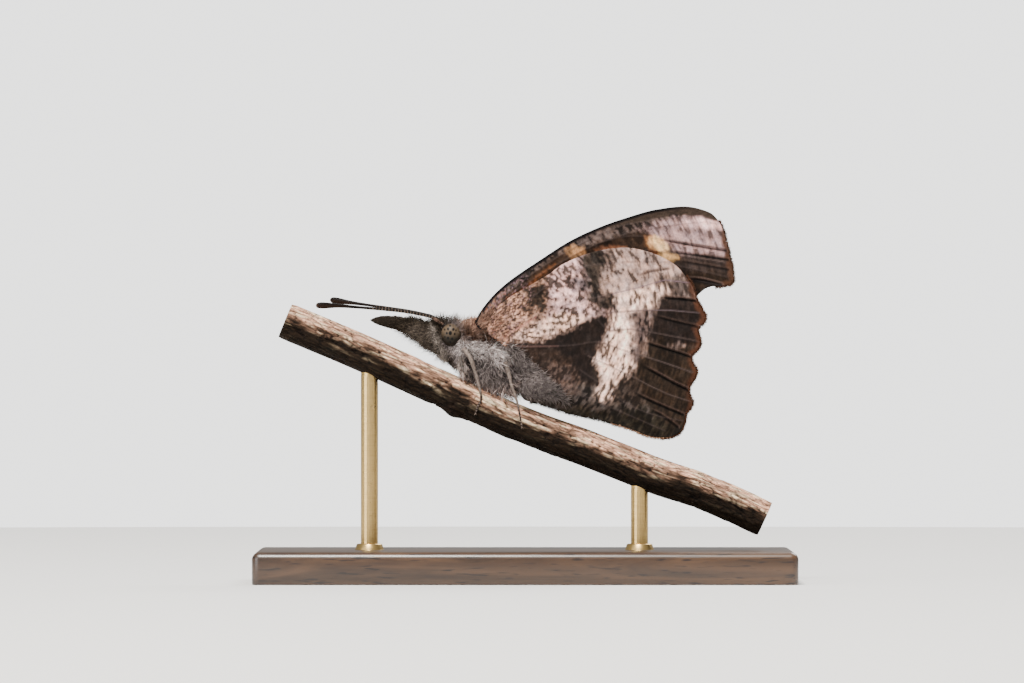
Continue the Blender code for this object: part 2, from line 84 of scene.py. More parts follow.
def lumps(points, size, seed):
    # smooth noise from -1 to 1 over (n, 3) points, with lumps of `size`, one number or three
    table = np.random.RandomState(seed).rand(32, 32, 32)
    spot = points / np.array(size, dtype=float)
    corner = np.floor(spot).astype(int)
    t = ease(0.0, 1.0, spot - corner)
    total = np.zeros(len(points))
    for step in np.ndindex(2, 2, 2):
        share = np.where(step, t, 1 - t).prod(axis=1)
        total += share * table[tuple(((corner + step) % 32).T)]
    return total * 2.0 - 1.0


def flatLumps(points, size, seed):
    # the same over (x, z) points
    return lumps(np.column_stack([points, np.zeros(len(points))]), (*size, 1.0), seed)


def lineDistance(points, line):
    # the distance to a line, how far along it that is, and the side: above or left is positive
    best, along, side = np.full(len(points), np.inf), np.zeros(len(points)), np.ones(len(points))
    run = 0.0
    for a, b in zip(line[:-1], line[1:]):
        step = b - a
        length = math.hypot(*step) + 1e-9
        away = points - a
        t = np.clip((away @ step) / length ** 2, 0.0, 1.0)
        distance = np.hypot(*(away - t[:, None] * step).T)
        nearer = distance < best
        best = np.where(nearer, distance, best)
        along = np.where(nearer, run + t * length, along)
        side = np.where(nearer, np.sign(step[0] * away[:, 1] - step[1] * away[:, 0]), side)
        run += length
    return best, along, side


def insideDepth(points, outline):
    # how deep inside a closed outline each point lies, negative outside
    closed = np.vstack([outline, outline[:1]]).astype(float)
    crossings = np.zeros(len(points), dtype=int)
    for a, b in zip(closed[:-1], closed[1:]):
        spans = (a[1] > points[:, 1]) != (b[1] > points[:, 1])
        rise = b[1] - a[1] if b[1] != a[1] else 1e-9
        crossings += spans & (points[:, 0] < a[0] + (b[0] - a[0]) * (points[:, 1] - a[1]) / rise)
    distance = lineDistance(points, closed)[0]
    return np.where(crossings % 2 == 1, distance, -distance)


def smoothLine(points, step, closed=False):
    # points about `step` apart on a smooth curve through `points`
    points = np.array(points, dtype=float)
    count = len(points)
    made = []
    for i in range(count if closed else count - 1):
        near = np.arange(i - 1, i + 3)
        a, b, c, d = points[near % count if closed else np.clip(near, 0, count - 1)]
        pieces = max(1, round(np.linalg.norm((c - b)[:3]) / step))
        for t in np.arange(pieces) / pieces:
            made.append(0.5 * (2 * b + (c - a) * t + (2 * a - 5 * b + 4 * c - d) * t * t
                               + (3 * b - a - 3 * c + d) * t ** 3))
    return np.array(made if closed else made + [points[-1]])


def runAlong(path):
    # how far along a path each of its points lies
    return np.concatenate([[0.0], np.cumsum(np.linalg.norm(np.diff(path, axis=0), axis=1))])


def unit(vectors):
    return vectors / np.linalg.norm(vectors, axis=1)[:, None]


def readPoints(mesh):
    flat = np.empty(len(mesh.vertices) * 3)
    mesh.vertices.foreach_get("co", flat)
    return flat.reshape(-1, 3)


def setMarkings(mesh, colours):
    layer = mesh.attributes.new("markings", "FLOAT_COLOR", "POINT")
    layer.data.foreach_set("color", np.column_stack([np.clip(colours, 0, 1), np.ones(len(colours))]).ravel())


def addObject(name, data):
    thing = bpy.data.objects.new(name, data)
    bpy.context.scene.collection.objects.link(thing)
    return thing


def placePiece(name, mesh, slot, nodes, *materials):
    # an object at the origin that rides on the one body and stands for its CAD nodes
    for material in materials:
        mesh.materials.append(material)
    mesh.shade_smooth()
    piece = addObject(name, mesh)
    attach(piece, "root")
    if nodes:
        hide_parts(*nodes)
    return piece


def meshFrom(bm, name):
    # a mesh in metres from a bmesh in millimetres
    bmesh.ops.scale(bm, vec=(mm, mm, mm), verts=bm.verts)
    mesh = bpy.data.meshes.new(name)
    bm.to_mesh(mesh)
    bm.free()
    return mesh


def feed(tree, node, inputs):
    # sets or links each input of a node
    for key, value in inputs.items():
        if isinstance(value, bpy.types.NodeSocket):
            tree.links.new(value, node.inputs[key])
        else:
            node.inputs[key].default_value = value
    return node


def addNode(tree, kind, inputs, **settings):
    node = tree.nodes.new("ShaderNode" + kind)
    for key, value in settings.items():
        setattr(node, key, value)
    return feed(tree, node, inputs)


def mixColour(tree, blend, factor, a, b):
    return addNode(tree, "Mix", {0: factor, 6: a, 7: b}, data_type="RGBA", blend_type=blend).outputs[2]


def sumUp(tree, operation, a, b):
    return addNode(tree, "Math", {0: a, 1: b}, operation=operation).outputs[0]


def toned(tree, colour, tone):
    # a colour times a brightness
    grey = addNode(tree, "CombineColor", {"Red": tone, "Green": tone, "Blue": tone})
    return mixColour(tree, "MULTIPLY", 1.0, colour, grey.outputs["Color"])


def stretched(tree, scale):
    # object coordinates stretched along the axes
    place = addNode(tree, "TexCoord", {}).outputs["Object"]
    return addNode(tree, "Mapping", {"Vector": place, "Scale": scale}).outputs["Vector"]


def noise(tree, place, scale, detail, **inputs):
    spots = addNode(tree, "TexNoise", {"Vector": place, "Scale": scale, "Detail": detail, **inputs})
    return spots.outputs["Fac"]


def ramp(tree, value, low, high):
    # a colour from `low` to `high`, each a position and a colour
    node = addNode(tree, "ValToRGB", {"Fac": value})
    for element, (position, colour) in zip(node.color_ramp.elements, (low, high)):
        element.position = position
        element.color = (*colour, 1.0)
    return node.outputs["Color"]


def spread(tree, value, fromMin, fromMax, toMin, toMax):
    node = addNode(tree, "MapRange", {"Value": value, "From Min": fromMin, "From Max": fromMax,
                                      "To Min": toMin, "To Max": toMax})
    return node.outputs["Result"]


def bump(tree, height, strength, distance, invert=False):
    # a bump whose distance is in millimetres
    node = addNode(tree, "Bump", {"Height": height, "Strength": strength, "Distance": distance * mm},
                   invert=invert)
    return node.outputs["Normal"]


def newMaterial(name, colour, roughness):
    # a Principled material, its node tree and its shader
    material = bpy.data.materials.new(name)
    material.use_nodes = True
    tree = material.node_tree
    shader = tree.nodes["Principled BSDF"]
    feed(tree, shader, {"Base Color": (*colour, 1.0), "Roughness": roughness})
    return material, tree, shader


# Camera, light and floor
print("stage: camera, light and floor")
studio = {"distance": 1000.0, "floorRadius": 300.0, "worldColour": (0.86, 0.86, 0.85),
          "worldStrength": 0.45, "backdropStrength": 2.9, "floorColour": (0.78, 0.77, 0.75)}
lamps = {
    # name: place, size, watts, colour
    "sun": ((-120.0, -420.0, 760.0), 220.0, 17.0, (1.0, 0.97, 0.92)),
    "fillLeft": ((-620.0, -560.0, 180.0), 500.0, 4.5, (0.97, 0.98, 1.0)),
    "rim": ((320.0, 520.0, 520.0), 380.0, 5.0, (1.0, 1.0, 1.0)),
}


def makeStudio():
    middle = atPixels([(photo["width"] / 2, photo["height"] / 2)])[0]
    camera = addObject("camera", bpy.data.cameras.new("camera"))
    camera.location = Vector((middle[0], -studio["distance"], middle[1])) * mm
    camera.rotation_euler = (math.radians(90), 0.0, 0.0)
    camera.data.sensor_width = 36.0
    camera.data.lens = 36.0 * studio["distance"] / (photo["width"] / photo["scale"])
    camera.data.clip_start = 0.05
    bpy.context.scene.camera = camera
    for name, (place, size, watts, colour) in lamps.items():
        lamp = addObject(name, bpy.data.lights.new(name, "AREA"))
        lamp.data.size = size * mm
        lamp.data.energy = watts
        lamp.data.color = colour
        lamp.location = Vector(place) * mm
        aim = Vector((0.0, 0.0, 20.0)) * mm - lamp.location
        lamp.rotation_euler = aim.to_track_quat("-Z", "Y").to_euler()
    world = bpy.data.worlds.new("studio")
    world.use_nodes = True
    bpy.context.scene.world = world
    tree = world.node_tree
    seen = addNode(tree, "LightPath", {}).outputs["Is Camera Ray"]
    glow = sumUp(tree, "MULTIPLY", seen, studio["backdropStrength"] - studio["worldStrength"])
    glow = sumUp(tree, "ADD", glow, studio["worldStrength"])
    feed(tree, tree.nodes["Background"], {"Color": (*studio["worldColour"], 1.0), "Strength": glow})
    bm = bmesh.new()
    bmesh.ops.create_circle(bm, cap_ends=True, segments=96, radius=studio["floorRadius"])
    floor = addObject("floor", meshFrom(bm, "floor"))
    floor.data.materials.append(newMaterial("floor paper", studio["floorColour"], 0.9)[0])


makeStudio()

# Body sizes that several pieces share, as the part's own source has them
body = {
    "slope": math.radians(23.5), "thoraxCentre": (-4.0, 21.37), "thoraxLength": 3.4,
    "thoraxHeight": 2.85, "thoraxDepth": 2.72, "thoraxWidth": 1.6, "topTaper": 0.3,
    "bottomPower": 4.0, "abdomenRadius": 1.1,
    "abdomenLine": [(-1.1, 18.6), (1.4, 17.6), (4.2, 17.0), (6.7, 16.5)],
}
wingPlace = {"root": (-4.17, 23.33), "hinge": (-3.9, 22.9), "forewingLayer": 0.15, "flare": 1.3,
             "flareReach": 1.6, "hindwingLayer": 1.12, "clear": 0.4, "blend": 0.3}


def bodyAxes(x, z):
    # how far behind and above the thorax's centre, along its slope
    dx, dz, turn = x - body["thoraxCentre"][0], z - body["thoraxCentre"][1], body["slope"]
    return dx * math.cos(turn) - dz * math.sin(turn), dx * math.sin(turn) + dz * math.cos(turn)


def thoraxHalfWidth(points, grow):
    behind, above = bodyAxes(*points.T)
    power = np.where(above > 0, 2.0, body["bottomPower"])
    height = np.where(above > 0, body["thoraxHeight"], body["thoraxDepth"]) + grow
    across = (np.abs(behind) / (body["thoraxLength"] + grow)) ** power
    across = (across + (np.abs(above) / height) ** power) ** (2.0 / power)
    narrowing = 1.0 - body["topTaper"] * np.maximum(0.0, above / height)
    return (body["thoraxWidth"] + grow) * narrowing * np.sqrt(np.maximum(0.0, 1.0 - across))


def barHalfWidth(points, line, radius):
    distance = lineDistance(points, np.array(line))[0]
    return np.sqrt(np.maximum(0.0, radius ** 2 - distance ** 2))


def forewingInner(points):
    reach = np.hypot(*(points - wingPlace["hinge"]).T)
    flare = wingPlace["forewingLayer"] + wingPlace["flare"] * np.exp(-(reach / wingPlace["flareReach"]) ** 2)
    return np.maximum(flare, thoraxHalfWidth(points, wingPlace["clear"]))


def hindwingInner(points):
    clear, layer = wingPlace["clear"], wingPlace["hindwingLayer"]
    over = np.maximum(thoraxHalfWidth(points, clear),
                      barHalfWidth(points, body["abdomenLine"], body["abdomenRadius"] + clear))
    return 0.5 * (layer + over + np.sqrt((layer - over) ** 2 + wingPlace["blend"] ** 2))


# Wings: lines and patches are photo pixels, outlines are millimetres from the wing root
print("stage: wings")
wingSheet = {"cell": 0.092, "thickness": 0.11, "setIn": 0.17, "veinWidth": 0.065, "veinRise": 0.06,
             "grooveWidth": 0.12, "grooveDepth": 0.11, "lipRise": 0.06, "pleat": 0.09}

forewing = {
    "outline": [(-0.37, 0.93), (0.93, 2.87), (2.78, 4.58), (5.56, 6.48), (8.33, 8.24), (11.11, 9.54),
     (13.89, 10.5), (16.2, 11.13), (18.98, 11.44), (20.93, 11.02), (21.85, 10.4), (22.5, 9.26),
     (23.01, 7.22), (23.43, 5.2), (23.29, 4.35), (22.3, 4.08), (20.74, 3.75), (18.3, 1.1), (17.4, -0.65),
     (16.2, -2.0), (13.0, -1.9), (8.3, -1.3), (5.6, -0.4), (3.6, 1.0), (2.35, 1.3), (1.35, 0.95),
     (0.75, 0.55), (0.35, 0.35), (0.05, 0.1)],
    "veins": [
        [(483, 315), (514, 288), (553, 260), (602, 233), (640, 222), (690, 216)],
        [(482, 318), (513, 293), (560, 263), (602, 242), (648, 229), (700, 222), (718, 224)],
        [(602, 242), (632, 236), (668, 240), (722, 248)],
        [(616, 250), (656, 251), (690, 257), (725, 263)],
        [(620, 260), (673, 265), (727, 277)],
        [(560, 283), (610, 270), (655, 274), (692, 279), (725, 286)],
        [(512, 300), (560, 283), (590, 285), (640, 294), (681, 306)],
        [(541, 325), (577, 327), (620, 335), (655, 344)]],
    "grooves": [
        # points, depth share
        ([(655, 239), (690, 245), (726, 251)], 0.7),
        ([(661, 251), (694, 255), (728, 260)], 0.8),
        ([(676, 261), (700, 265), (728, 270)], 0.6),
        ([(686, 278.8), (702, 280.4), (721, 285)], 1.4)],
    "base": (100, 82, 74),
    "patches": [
        # colour, softness in pixels, ragged edge in pixels, fleck strength, outline
        ((180, 156, 138), 4, 3, 1.1, [(462, 340), (472, 312), (489, 290), (508, 274), (516, 270),
         (522, 280), (512, 300), (498, 322), (486, 344)]),
        ((128, 106, 96), 3, 3, 1.15, [(504, 300), (506, 278), (530, 262), (562, 246), (568, 252),
         (545, 270), (516, 294)]),
        ((134, 112, 103), 3, 2, 1.1, [(575, 246), (600, 231), (640, 222), (662, 216), (690, 214),
         (660, 232), (625, 234), (606, 240), (585, 250)]),
        ((188, 168, 166), 4, 3, 0.75, [(640, 229), (662, 219), (690, 214), (714, 218), (722, 232),
         (727, 252), (700, 256), (668, 252), (656, 238)]),
        ((218, 203, 201), 3, 2, 0.4, [(684, 220), (704, 218), (716, 222), (720, 229), (700, 229),
         (684, 226)]),
        ((78, 61, 54), 3, 2, 0.5, [(676, 255), (700, 257), (729, 261), (731, 280), (722, 292), (690, 296),
         (670, 280), (660, 262)]),
        ((58, 43, 33), 3, 2, 0.4, [(684, 271), (728, 276), (731, 290), (700, 299), (684, 290)]),
        # painted shade in the groove near the apex, a thin dark strip
        ((30, 22, 18), 1.2, 0.4, 0.2, [(688, 278.8), (702, 280), (716, 284.4), (704, 284), (692, 282.4)]),
        ((70, 50, 38), 2, 2, 0.4, [(585, 250), (606, 240), (626, 234), (648, 231), (650, 245), (656, 254),
         (630, 258), (600, 262), (590, 262)]),
        ((92, 65, 49), 2.2, 1.5, 0.5, [(504, 298), (514, 289), (530, 276), (546, 263.5), (560, 254.5),
         (570, 251), (574, 262), (556, 276), (530, 296), (508, 312)]),
        ((154, 100, 58), 1.6, 1, 0.4, [(508, 298.5), (520, 289), (533, 279.5), (546, 269.5), (556, 262),
         (557, 264), (548, 271.5), (534, 282.5), (521, 293), (509, 302)]),
        ((188, 157, 114), 2.4, 1.6, 0.5, [(567, 248), (577, 245), (585, 248), (586, 254), (578, 258),
         (571, 260), (568, 254)]),
        ((176, 132, 98), 2.2, 1.5, 0.5, [(594, 249), (608, 246.5), (626, 247.5), (612, 251), (596, 253)]),
        ((190, 156, 114), 2.6, 1.4, 0.3, [(646, 237), (655, 236), (662, 243), (667, 250), (657, 253.5),
         (648, 249)]),
        ((226, 211, 186), 3.4, 1.6, 0.3, [(651, 238), (657, 237), (666, 244), (670, 250), (659, 251),
         (653, 246)]),
        ((140, 84, 50), 1.3, 1, 0.2, [(648, 249), (664, 253), (666, 256), (650, 254)]),
        ((208, 188, 150), 2.8, 1.6, 0.4, [(660, 252), (673, 253), (677, 259), (668, 261), (662, 258)])],
    "costaInk": [(470, 330), (498, 289), (540, 256), (587, 235), (602, 228), (623, 225), (639, 222),
     (656, 217.6), (673, 215.4), (690, 215.8), (704, 217.4), (716, 220.6), (730, 205), (700, 195),
     (640, 195), (580, 215), (500, 265), (470, 300)],
    "fringe": (128, 84, 60),
    "touches": [
        # colour, share, seed, outline
        ((190, 166, 170), 0.6, 51, [(476, 330), (480, 306), (500, 288), (526, 270), (530, 284),
         (506, 312)]),
        ((196, 146, 114), 0.5, 52, [(476, 330), (480, 312), (496, 298), (508, 290), (506, 310),
         (490, 330)]),
        ((74, 66, 74), 0.85, 53, [(476, 330), (480, 306), (500, 286), (524, 266), (530, 274), (500, 304)]),
        ((70, 56, 48), 0.9, 55, [(476, 330), (480, 306), (500, 288), (530, 266), (530, 282), (500, 316)]),
        ((116, 112, 132), 0.6, 56, [(478, 322), (486, 304), (504, 284), (526, 266), (532, 268), (506, 292),
         (490, 310)])],
    "lines": [
        # colour, width in millimetres, points
        # a painted highlight along the forewing's top edge at the apex
        ((154, 146, 144), 0.09, [(700, 209.8), (708, 211.8), (714, 215)]),
        ((204, 184, 180), 0.04, [(664, 241), (690, 247.4), (722, 252.6)]),
        ((138, 115, 106), 0.04, [(668, 252), (692, 256.6), (724, 261.6)]),
        ((132, 108, 98), 0.06, [(684, 276.4), (702, 277.6), (721, 282.4)])],
}

hindwing = {
    "outline": [(0.75, -0.15), (0.95, 0.95), (1.6, 2.05), (2.7, 3.0), (4.61, 4.13), (6.45, 5.21),
     (7.5, 6.0), (9.21, 6.79), (10.95, 7.33), (13.2, 7.62), (14.9, 7.42), (16.5, 6.9), (18.06, 6.02),
     (19.07, 4.91), (19.75, 3.8), (20.0, 2.85), (20.56, 1.85), (20.85, 1.25), (20.6, 0.6), (20.14, 0.15),
     (20.25, -0.6), (20.37, -1.2), (20.1, -1.8), (19.55, -2.35), (19.65, -3.1), (20.03, -3.75),
     (19.75, -4.55), (19.31, -5.3), (19.38, -6.1), (19.63, -6.7), (19.5, -7.2), (19.05, -7.65),
     (18.94, -8.33), (18.6, -9.3), (18.0, -9.75), (16.94, -9.93), (15.56, -9.77), (13.89, -9.12),
     (11.11, -8.29), (8.33, -7.69), (5.56, -6.8), (3.9, -6.25), (3.75, -3.9), (2.95, -2.05), (1.5, -0.95)],
    "veins": [
        [(500, 335), (530, 300), (570, 272), (620, 262), (670, 262)],
        [(505, 330), (533, 318), (570, 303), (600, 297), (617, 292), (640, 287), (665, 280), (690, 283)],
        [(588, 314), (604, 313), (640, 310), (700, 313)],
        [(598, 320), (609, 330), (630, 329), (660, 334), (699, 342)],
        [(505, 347), (560, 346), (575, 345), (600, 342), (620, 349), (640, 355), (665, 363), (693, 372)],
        [(588, 356), (610, 366), (635, 378), (650, 386), (670, 395), (692, 402)],
        [(580, 370), (600, 384), (622, 401), (640, 410), (662, 417), (684, 421)],
        [(505, 352), (560, 385), (640, 420), (665, 431)]],
    "grooves": [
        ([(635, 277), (650, 272), (668, 269)], 0.6),
        ([(660, 298), (678, 299), (695, 301)], 1.2),
        ([(652, 316), (675, 322), (697, 327)], 0.7),
        ([(640, 341), (655, 346), (675, 352), (690, 357)], 1.0),
        ([(640, 365), (655, 373), (675, 384), (688, 390)], 1.2),
        ([(632, 392), (648, 400), (666, 408), (683, 415)], 1.0),
        ([(648, 409), (662, 416), (677, 427)], 0.8)],
    "base": (196, 180, 172),
    "patches": [
        ((60, 49, 39), 3, 3, 0.6, [(496, 350), (520, 347), (560, 345), (600, 350), (640, 358), (710, 345),
         (740, 390), (705, 445), (640, 455), (560, 440), (485, 410)]),
        ((206, 184, 168), 6, 4, 1.15, [(470, 340), (495, 296), (526, 276), (553, 268), (552, 301),
         (549, 317), (513, 339), (505, 348), (489, 346), (470, 345)]),
        ((80, 64, 53), 9, 5, 0.7, [(524, 289), (541, 277), (553, 273), (551, 291), (551, 307), (548, 316),
         (534, 316), (527, 305)]),
        ((214, 198, 195), 4, 2.6, 1.1, [(555, 268), (567, 260), (581, 255), (586, 265), (588, 278),
         (589, 290), (587, 298), (590, 303), (600, 306), (611, 309), (611, 314), (600, 315), (588, 317),
         (580, 322), (560, 331), (545, 328), (551, 308), (549, 298), (548, 285), (550, 275)]),
        ((148, 130, 131), 7, 4, 1.1, [(573, 279), (584, 275), (592, 280), (592, 290), (582, 294),
         (574, 288)]),
        ((216, 201, 192), 3.5, 2.8, 1.15, [(549, 318), (562, 312), (580, 314), (586, 319), (572, 328),
         (560, 333), (549, 337), (535, 341), (521, 344), (513, 341), (514, 335), (527, 329), (540, 323)]),
        ((84, 70, 61), 6, 3.5, 0.9, [(577, 258), (590, 250), (610, 252), (611, 262), (604, 274), (601, 286),
         (600, 300), (591, 303), (588, 292), (586, 280), (580, 268)]),
        ((92, 75, 67), 4, 3, 0.8, [(600, 298), (614, 294), (618, 300), (616, 310), (606, 312),
         (598, 309)]),
        ((78, 59, 50), 5, 5, 0.5, [(510, 345), (545, 344), (580, 346), (592, 356), (594, 372), (598, 384),
         (588, 392), (566, 388), (544, 376), (524, 358)]),
        ((112, 96, 88), 9, 6, 1.0, [(548, 394), (572, 374), (600, 388), (640, 400), (650, 420), (612, 422),
         (575, 410)]),
        ((46, 35, 31), 4, 2.5, 0.35, [(578, 325), (592, 317), (609, 314), (611, 322), (606, 335),
         (600, 344), (597, 352), (594, 361), (594, 370), (599, 383), (588, 385), (579, 378), (574, 368),
         (566, 357), (552, 350), (530, 347), (514, 346), (518, 343), (533, 342), (549, 338), (566, 331)]),
        ((124, 99, 89), 5, 6, 0.8, [(540, 372), (556, 366), (572, 372), (577, 384), (562, 394),
         (545, 388)]),
        ((134, 112, 102), 5, 5, 0.8, [(664, 276), (690, 278), (694, 298), (664, 298), (656, 290)]),
        ((222, 210, 203), 4.5, 2.8, 1.15, [(616, 297), (633, 291), (656, 287), (665, 291), (662, 300),
         (652, 308), (636, 312), (634, 330), (632, 344), (634, 358), (637, 366), (628, 378), (618, 379),
         (614, 388), (612, 398), (602, 400), (596, 396), (598, 386), (602, 378), (598, 367), (594, 361),
         (597, 353), (602, 344), (608, 335), (611, 323), (613, 313), (619, 311)]),
        ((84, 72, 66), 5, 5, 0.6, [(494, 340), (512, 348), (530, 362), (548, 384), (562, 404), (556, 420),
         (500, 412), (490, 360)]),
        ((148, 126, 119), 6, 3, 1.1, [(634, 312), (652, 309), (653, 326), (648, 340), (642, 354),
         (638, 362), (632, 358), (632, 338)]),
        ((96, 76, 66), 6, 6, 0.8, [(618, 382), (634, 372), (646, 384), (650, 400), (634, 404),
         (616, 398)]),
        ((58, 49, 38), 5, 6, 0.8, [(560, 408), (580, 408), (598, 412), (616, 412), (640, 408), (668, 418),
         (690, 432), (640, 440), (600, 428), (560, 416)]),
        ((48, 36, 32), 3.5, 2, 0.4, [(664, 297), (696, 299), (712, 314), (704, 334), (700, 346), (660, 344),
         (648, 336), (653, 316), (657, 306)]),
        ((62, 46, 35), 6, 3, 0.6, [(648, 338), (676, 344), (710, 350), (704, 372), (700, 402), (692, 430),
         (664, 420), (648, 402), (638, 384), (640, 362)])],
    "costaInk": [],
    "fringe": (132, 80, 54),
    "touches": [
        ((186, 160, 162), 0.6, 41, [(486, 346), (486, 318), (506, 290), (530, 276), (534, 300),
         (512, 338)]),
        ((190, 142, 112), 0.5, 42, [(484, 346), (486, 322), (496, 314), (508, 326), (508, 348)]),
        ((66, 52, 44), 0.9, 43, [(484, 346), (486, 318), (506, 290), (534, 276), (534, 310), (510, 344)]),
        ((82, 66, 56), 0.8, 45, [(484, 346), (486, 318), (506, 290), (534, 276), (534, 310), (510, 344)])],
    "lines": [
        ((198, 156, 152), 0.05, [(513, 331), (524, 324.5), (536, 317)]),
        ((150, 112, 104), 0.06, [(508, 346), (530, 346.6), (558, 346.2)]),
        ((178, 158, 168), 0.045, [(613, 294), (640, 287), (665, 280), (690, 283)]),
        ((140, 122, 128), 0.045, [(609, 313), (640, 310.5), (668, 310), (699, 313)]),
        ((104, 84, 77), 0.045, [(609, 331), (630, 329), (660, 334), (699, 341)]),
        ((134, 114, 108), 0.045, [(603, 343), (620, 349), (640, 355), (665, 363), (693, 373)]),
        ((120, 100, 92), 0.045, [(588, 356), (610, 366), (635, 378), (650, 386), (670, 395), (692, 402)])],
}

wings = {"forewing": (forewing, forewingInner), "hindwing": (hindwing, hindwingInner)}


wingPattern = {"softCloud": 0.14, "fineCloud": 0.12, "warmth": 0.08, "mottle": 0.38, "ripple": 0.24,
               "ripplePhase": 15.5, "rippleWander": 2.4, "fleckColour": (84, 70, 60),
               "fleckedFrom": (214, 198, 190), "fleck": 0.92, "lightScalesAndGlints": 0.5, "line": 0.65}


def paintWing(wing, points):
    # the underside's colours at (x, z) points
    away = points - np.array(wingPlace["root"])
    reach = np.hypot(away[:, 0], away[:, 1])
    bands = np.column_stack([reach, np.arctan2(away[:, 1], away[:, 0]) * 12.0])  # flecks cross the veins
    pixels = toPixels(*points.T)
    colours = coatOf(wing["base"], len(points))
    strength = np.full(len(points), 0.95)
    for order, (colour, soft, ragged, flecks, outline) in enumerate(wing["patches"]):
        inward = insideDepth(pixels, smoothLine(outline, 4.0, closed=True))
        inward += ragged * (flatLumps(bands, (0.35, 0.6), 20 + order)
                            + 0.8 * flatLumps(bands, (0.14, 0.3), 60 + order))
        cover = ease(-soft, soft, inward)
        tint(colours, colour, cover)
        strength += (flecks - strength) * cover
    cloud = flatLumps(points, (0.7, 0.7), 3) * wingPattern["softCloud"]
    cloud += flatLumps(points, (0.2, 0.2), 4) * wingPattern["fineCloud"]
    colours *= (1.0 + cloud)[:, None]
    warm = flatLumps(points, (0.45, 0.45), 5) + 0.5 * flatLumps(points, (0.15, 0.15), 9)
    colours *= 1.0 + wingPattern["warmth"] * warm[:, None] * np.array((1.0, 0.1, -0.8))
    # brown clouds over the pale areas, and fine ripples between the veins
    mottle = flatLumps(bands, (0.55, 1.1), 15) + 0.6 * flatLumps(points, (0.3, 0.3), 16)
    colours *= 1.0 - (wingPattern["mottle"] * ease(0.0, 0.9, mottle) * strength)[:, None]
    strength = np.minimum(1.0, strength)
    wander = wingPattern["rippleWander"] * flatLumps(bands, (0.5, 0.8), 17)
    ripple = np.sin(reach * wingPattern["ripplePhase"] + wander)
    broken = ease(-0.3, 0.3, flatLumps(bands, (0.22, 0.4), 18))
    colours *= 1.0 - (wingPattern["ripple"] * ease(0.1, 0.9, ripple) * broken * strength)[:, None]
    # dark flecks and cracks between the rows of scales, and light scales between them, brightened further as
    # painted glints of the glossy scales
    fleck = flatLumps(bands, (0.2, 0.52), 6) + 0.6 * flatLumps(bands, (0.12, 0.24), 7)
    fleck += 0.5 * flatLumps(points, (1.0, 1.0), 8) + 0.6 * flatLumps(bands, (0.3, 0.4), 14)
    crack = 1.0 - np.abs(flatLumps(bands, (0.3, 0.55), 10)) / 0.22
    fleck += 0.6 * np.clip(crack, 0.0, 1.0) * ease(-0.3, 0.5, flatLumps(points, (0.9, 0.9), 13))
    bright = colours.mean(axis=1) / paint(*wingPattern["fleckedFrom"]).mean()
    dark = paint(*wingPattern["fleckColour"]) * np.clip(bright, 0.1, 1.0)[:, None]
    colours += (dark - colours) * (wingPattern["fleck"] * strength * ease(0.0, 0.75, fleck))[:, None]
    colours *= (1.0 + wingPattern["lightScalesAndGlints"] * ease(0.1, 0.8, -fleck))[:, None]
    for colour, share, seed, outline in wing["touches"]:
        speck = flatLumps(points, (0.13, 0.13), seed) + 0.6 * flatLumps(bands, (0.3, 0.5), seed + 20)
        near = ease(-4.0, 4.0, insideDepth(pixels, outline))
        tint(colours, colour, share * near * ease(0.2, 0.7, speck))
    for colour, width, line in wing["lines"]:
        away = lineDistance(points, atPixels(line))[0]
        tint(colours, colour, wingPattern["line"] * np.exp(-(away / width) ** 2))
    return colours


def wingRelief(wing, points, depth):
    # how far the underside stands out, and masks for veins, grooves and the lips of grooves
    relief = 0.05 * flatLumps(points, (1.5, 1.1), 11) + 0.018 * flatLumps(points, (0.35, 0.35), 12)
    veins, grooves, lips = np.zeros((3, len(points)))
    for line in wing["veins"]:
        distance = lineDistance(points, smoothLine(atPixels(line), 0.3))[0]
        veins = np.maximum(veins, np.exp(-(distance / wingSheet["veinWidth"]) ** 2))
        relief += wingSheet["pleat"] * 0.5 * np.exp(-(distance / 0.5) ** 2)
    for line, share in wing["grooves"]:
        path = smoothLine(atPixels(line), 0.3)
        distance, along, side = lineDistance(points, path)
        grow = share * ease(0.0, 0.3 * runAlong(path)[-1], along)
        grooves = np.maximum(grooves, grow * np.exp(-(distance / wingSheet["grooveWidth"]) ** 2))
        lips = np.maximum(lips, np.exp(-((distance * side - 0.2) / 0.075) ** 2) * grow)
        relief -= wingSheet["pleat"] * grow * np.exp(-(distance / 0.45) ** 2)
    relief += wingSheet["veinRise"] * veins + wingSheet["lipRise"] * lips
    relief -= wingSheet["grooveDepth"] * grooves
    return relief * ease(0.0, 0.35, depth), veins, grooves, lips


def wingOutline(wing):
    return smoothLine(np.array(wing["outline"]) + np.array(wingPlace["root"]), 0.12, closed=True)


# wing inks; the grooves are darkened as painted shade, and the lips above them lightened as painted
# highlight
wingInk = {"costa": (80, 63, 52), "costaEdge": (16, 13, 14), "paintedLipLight": (150, 124, 112), "paintedLipLightShare": 0.36,
           "vein": (116, 98, 95), "veinShare": 0.32, "paintedGrooveShade": 0.9, "rust": 0.8,
           "rustFrom": {"hindwing": (14.6, 15.6), "forewing": (18.0, 18.4)}}


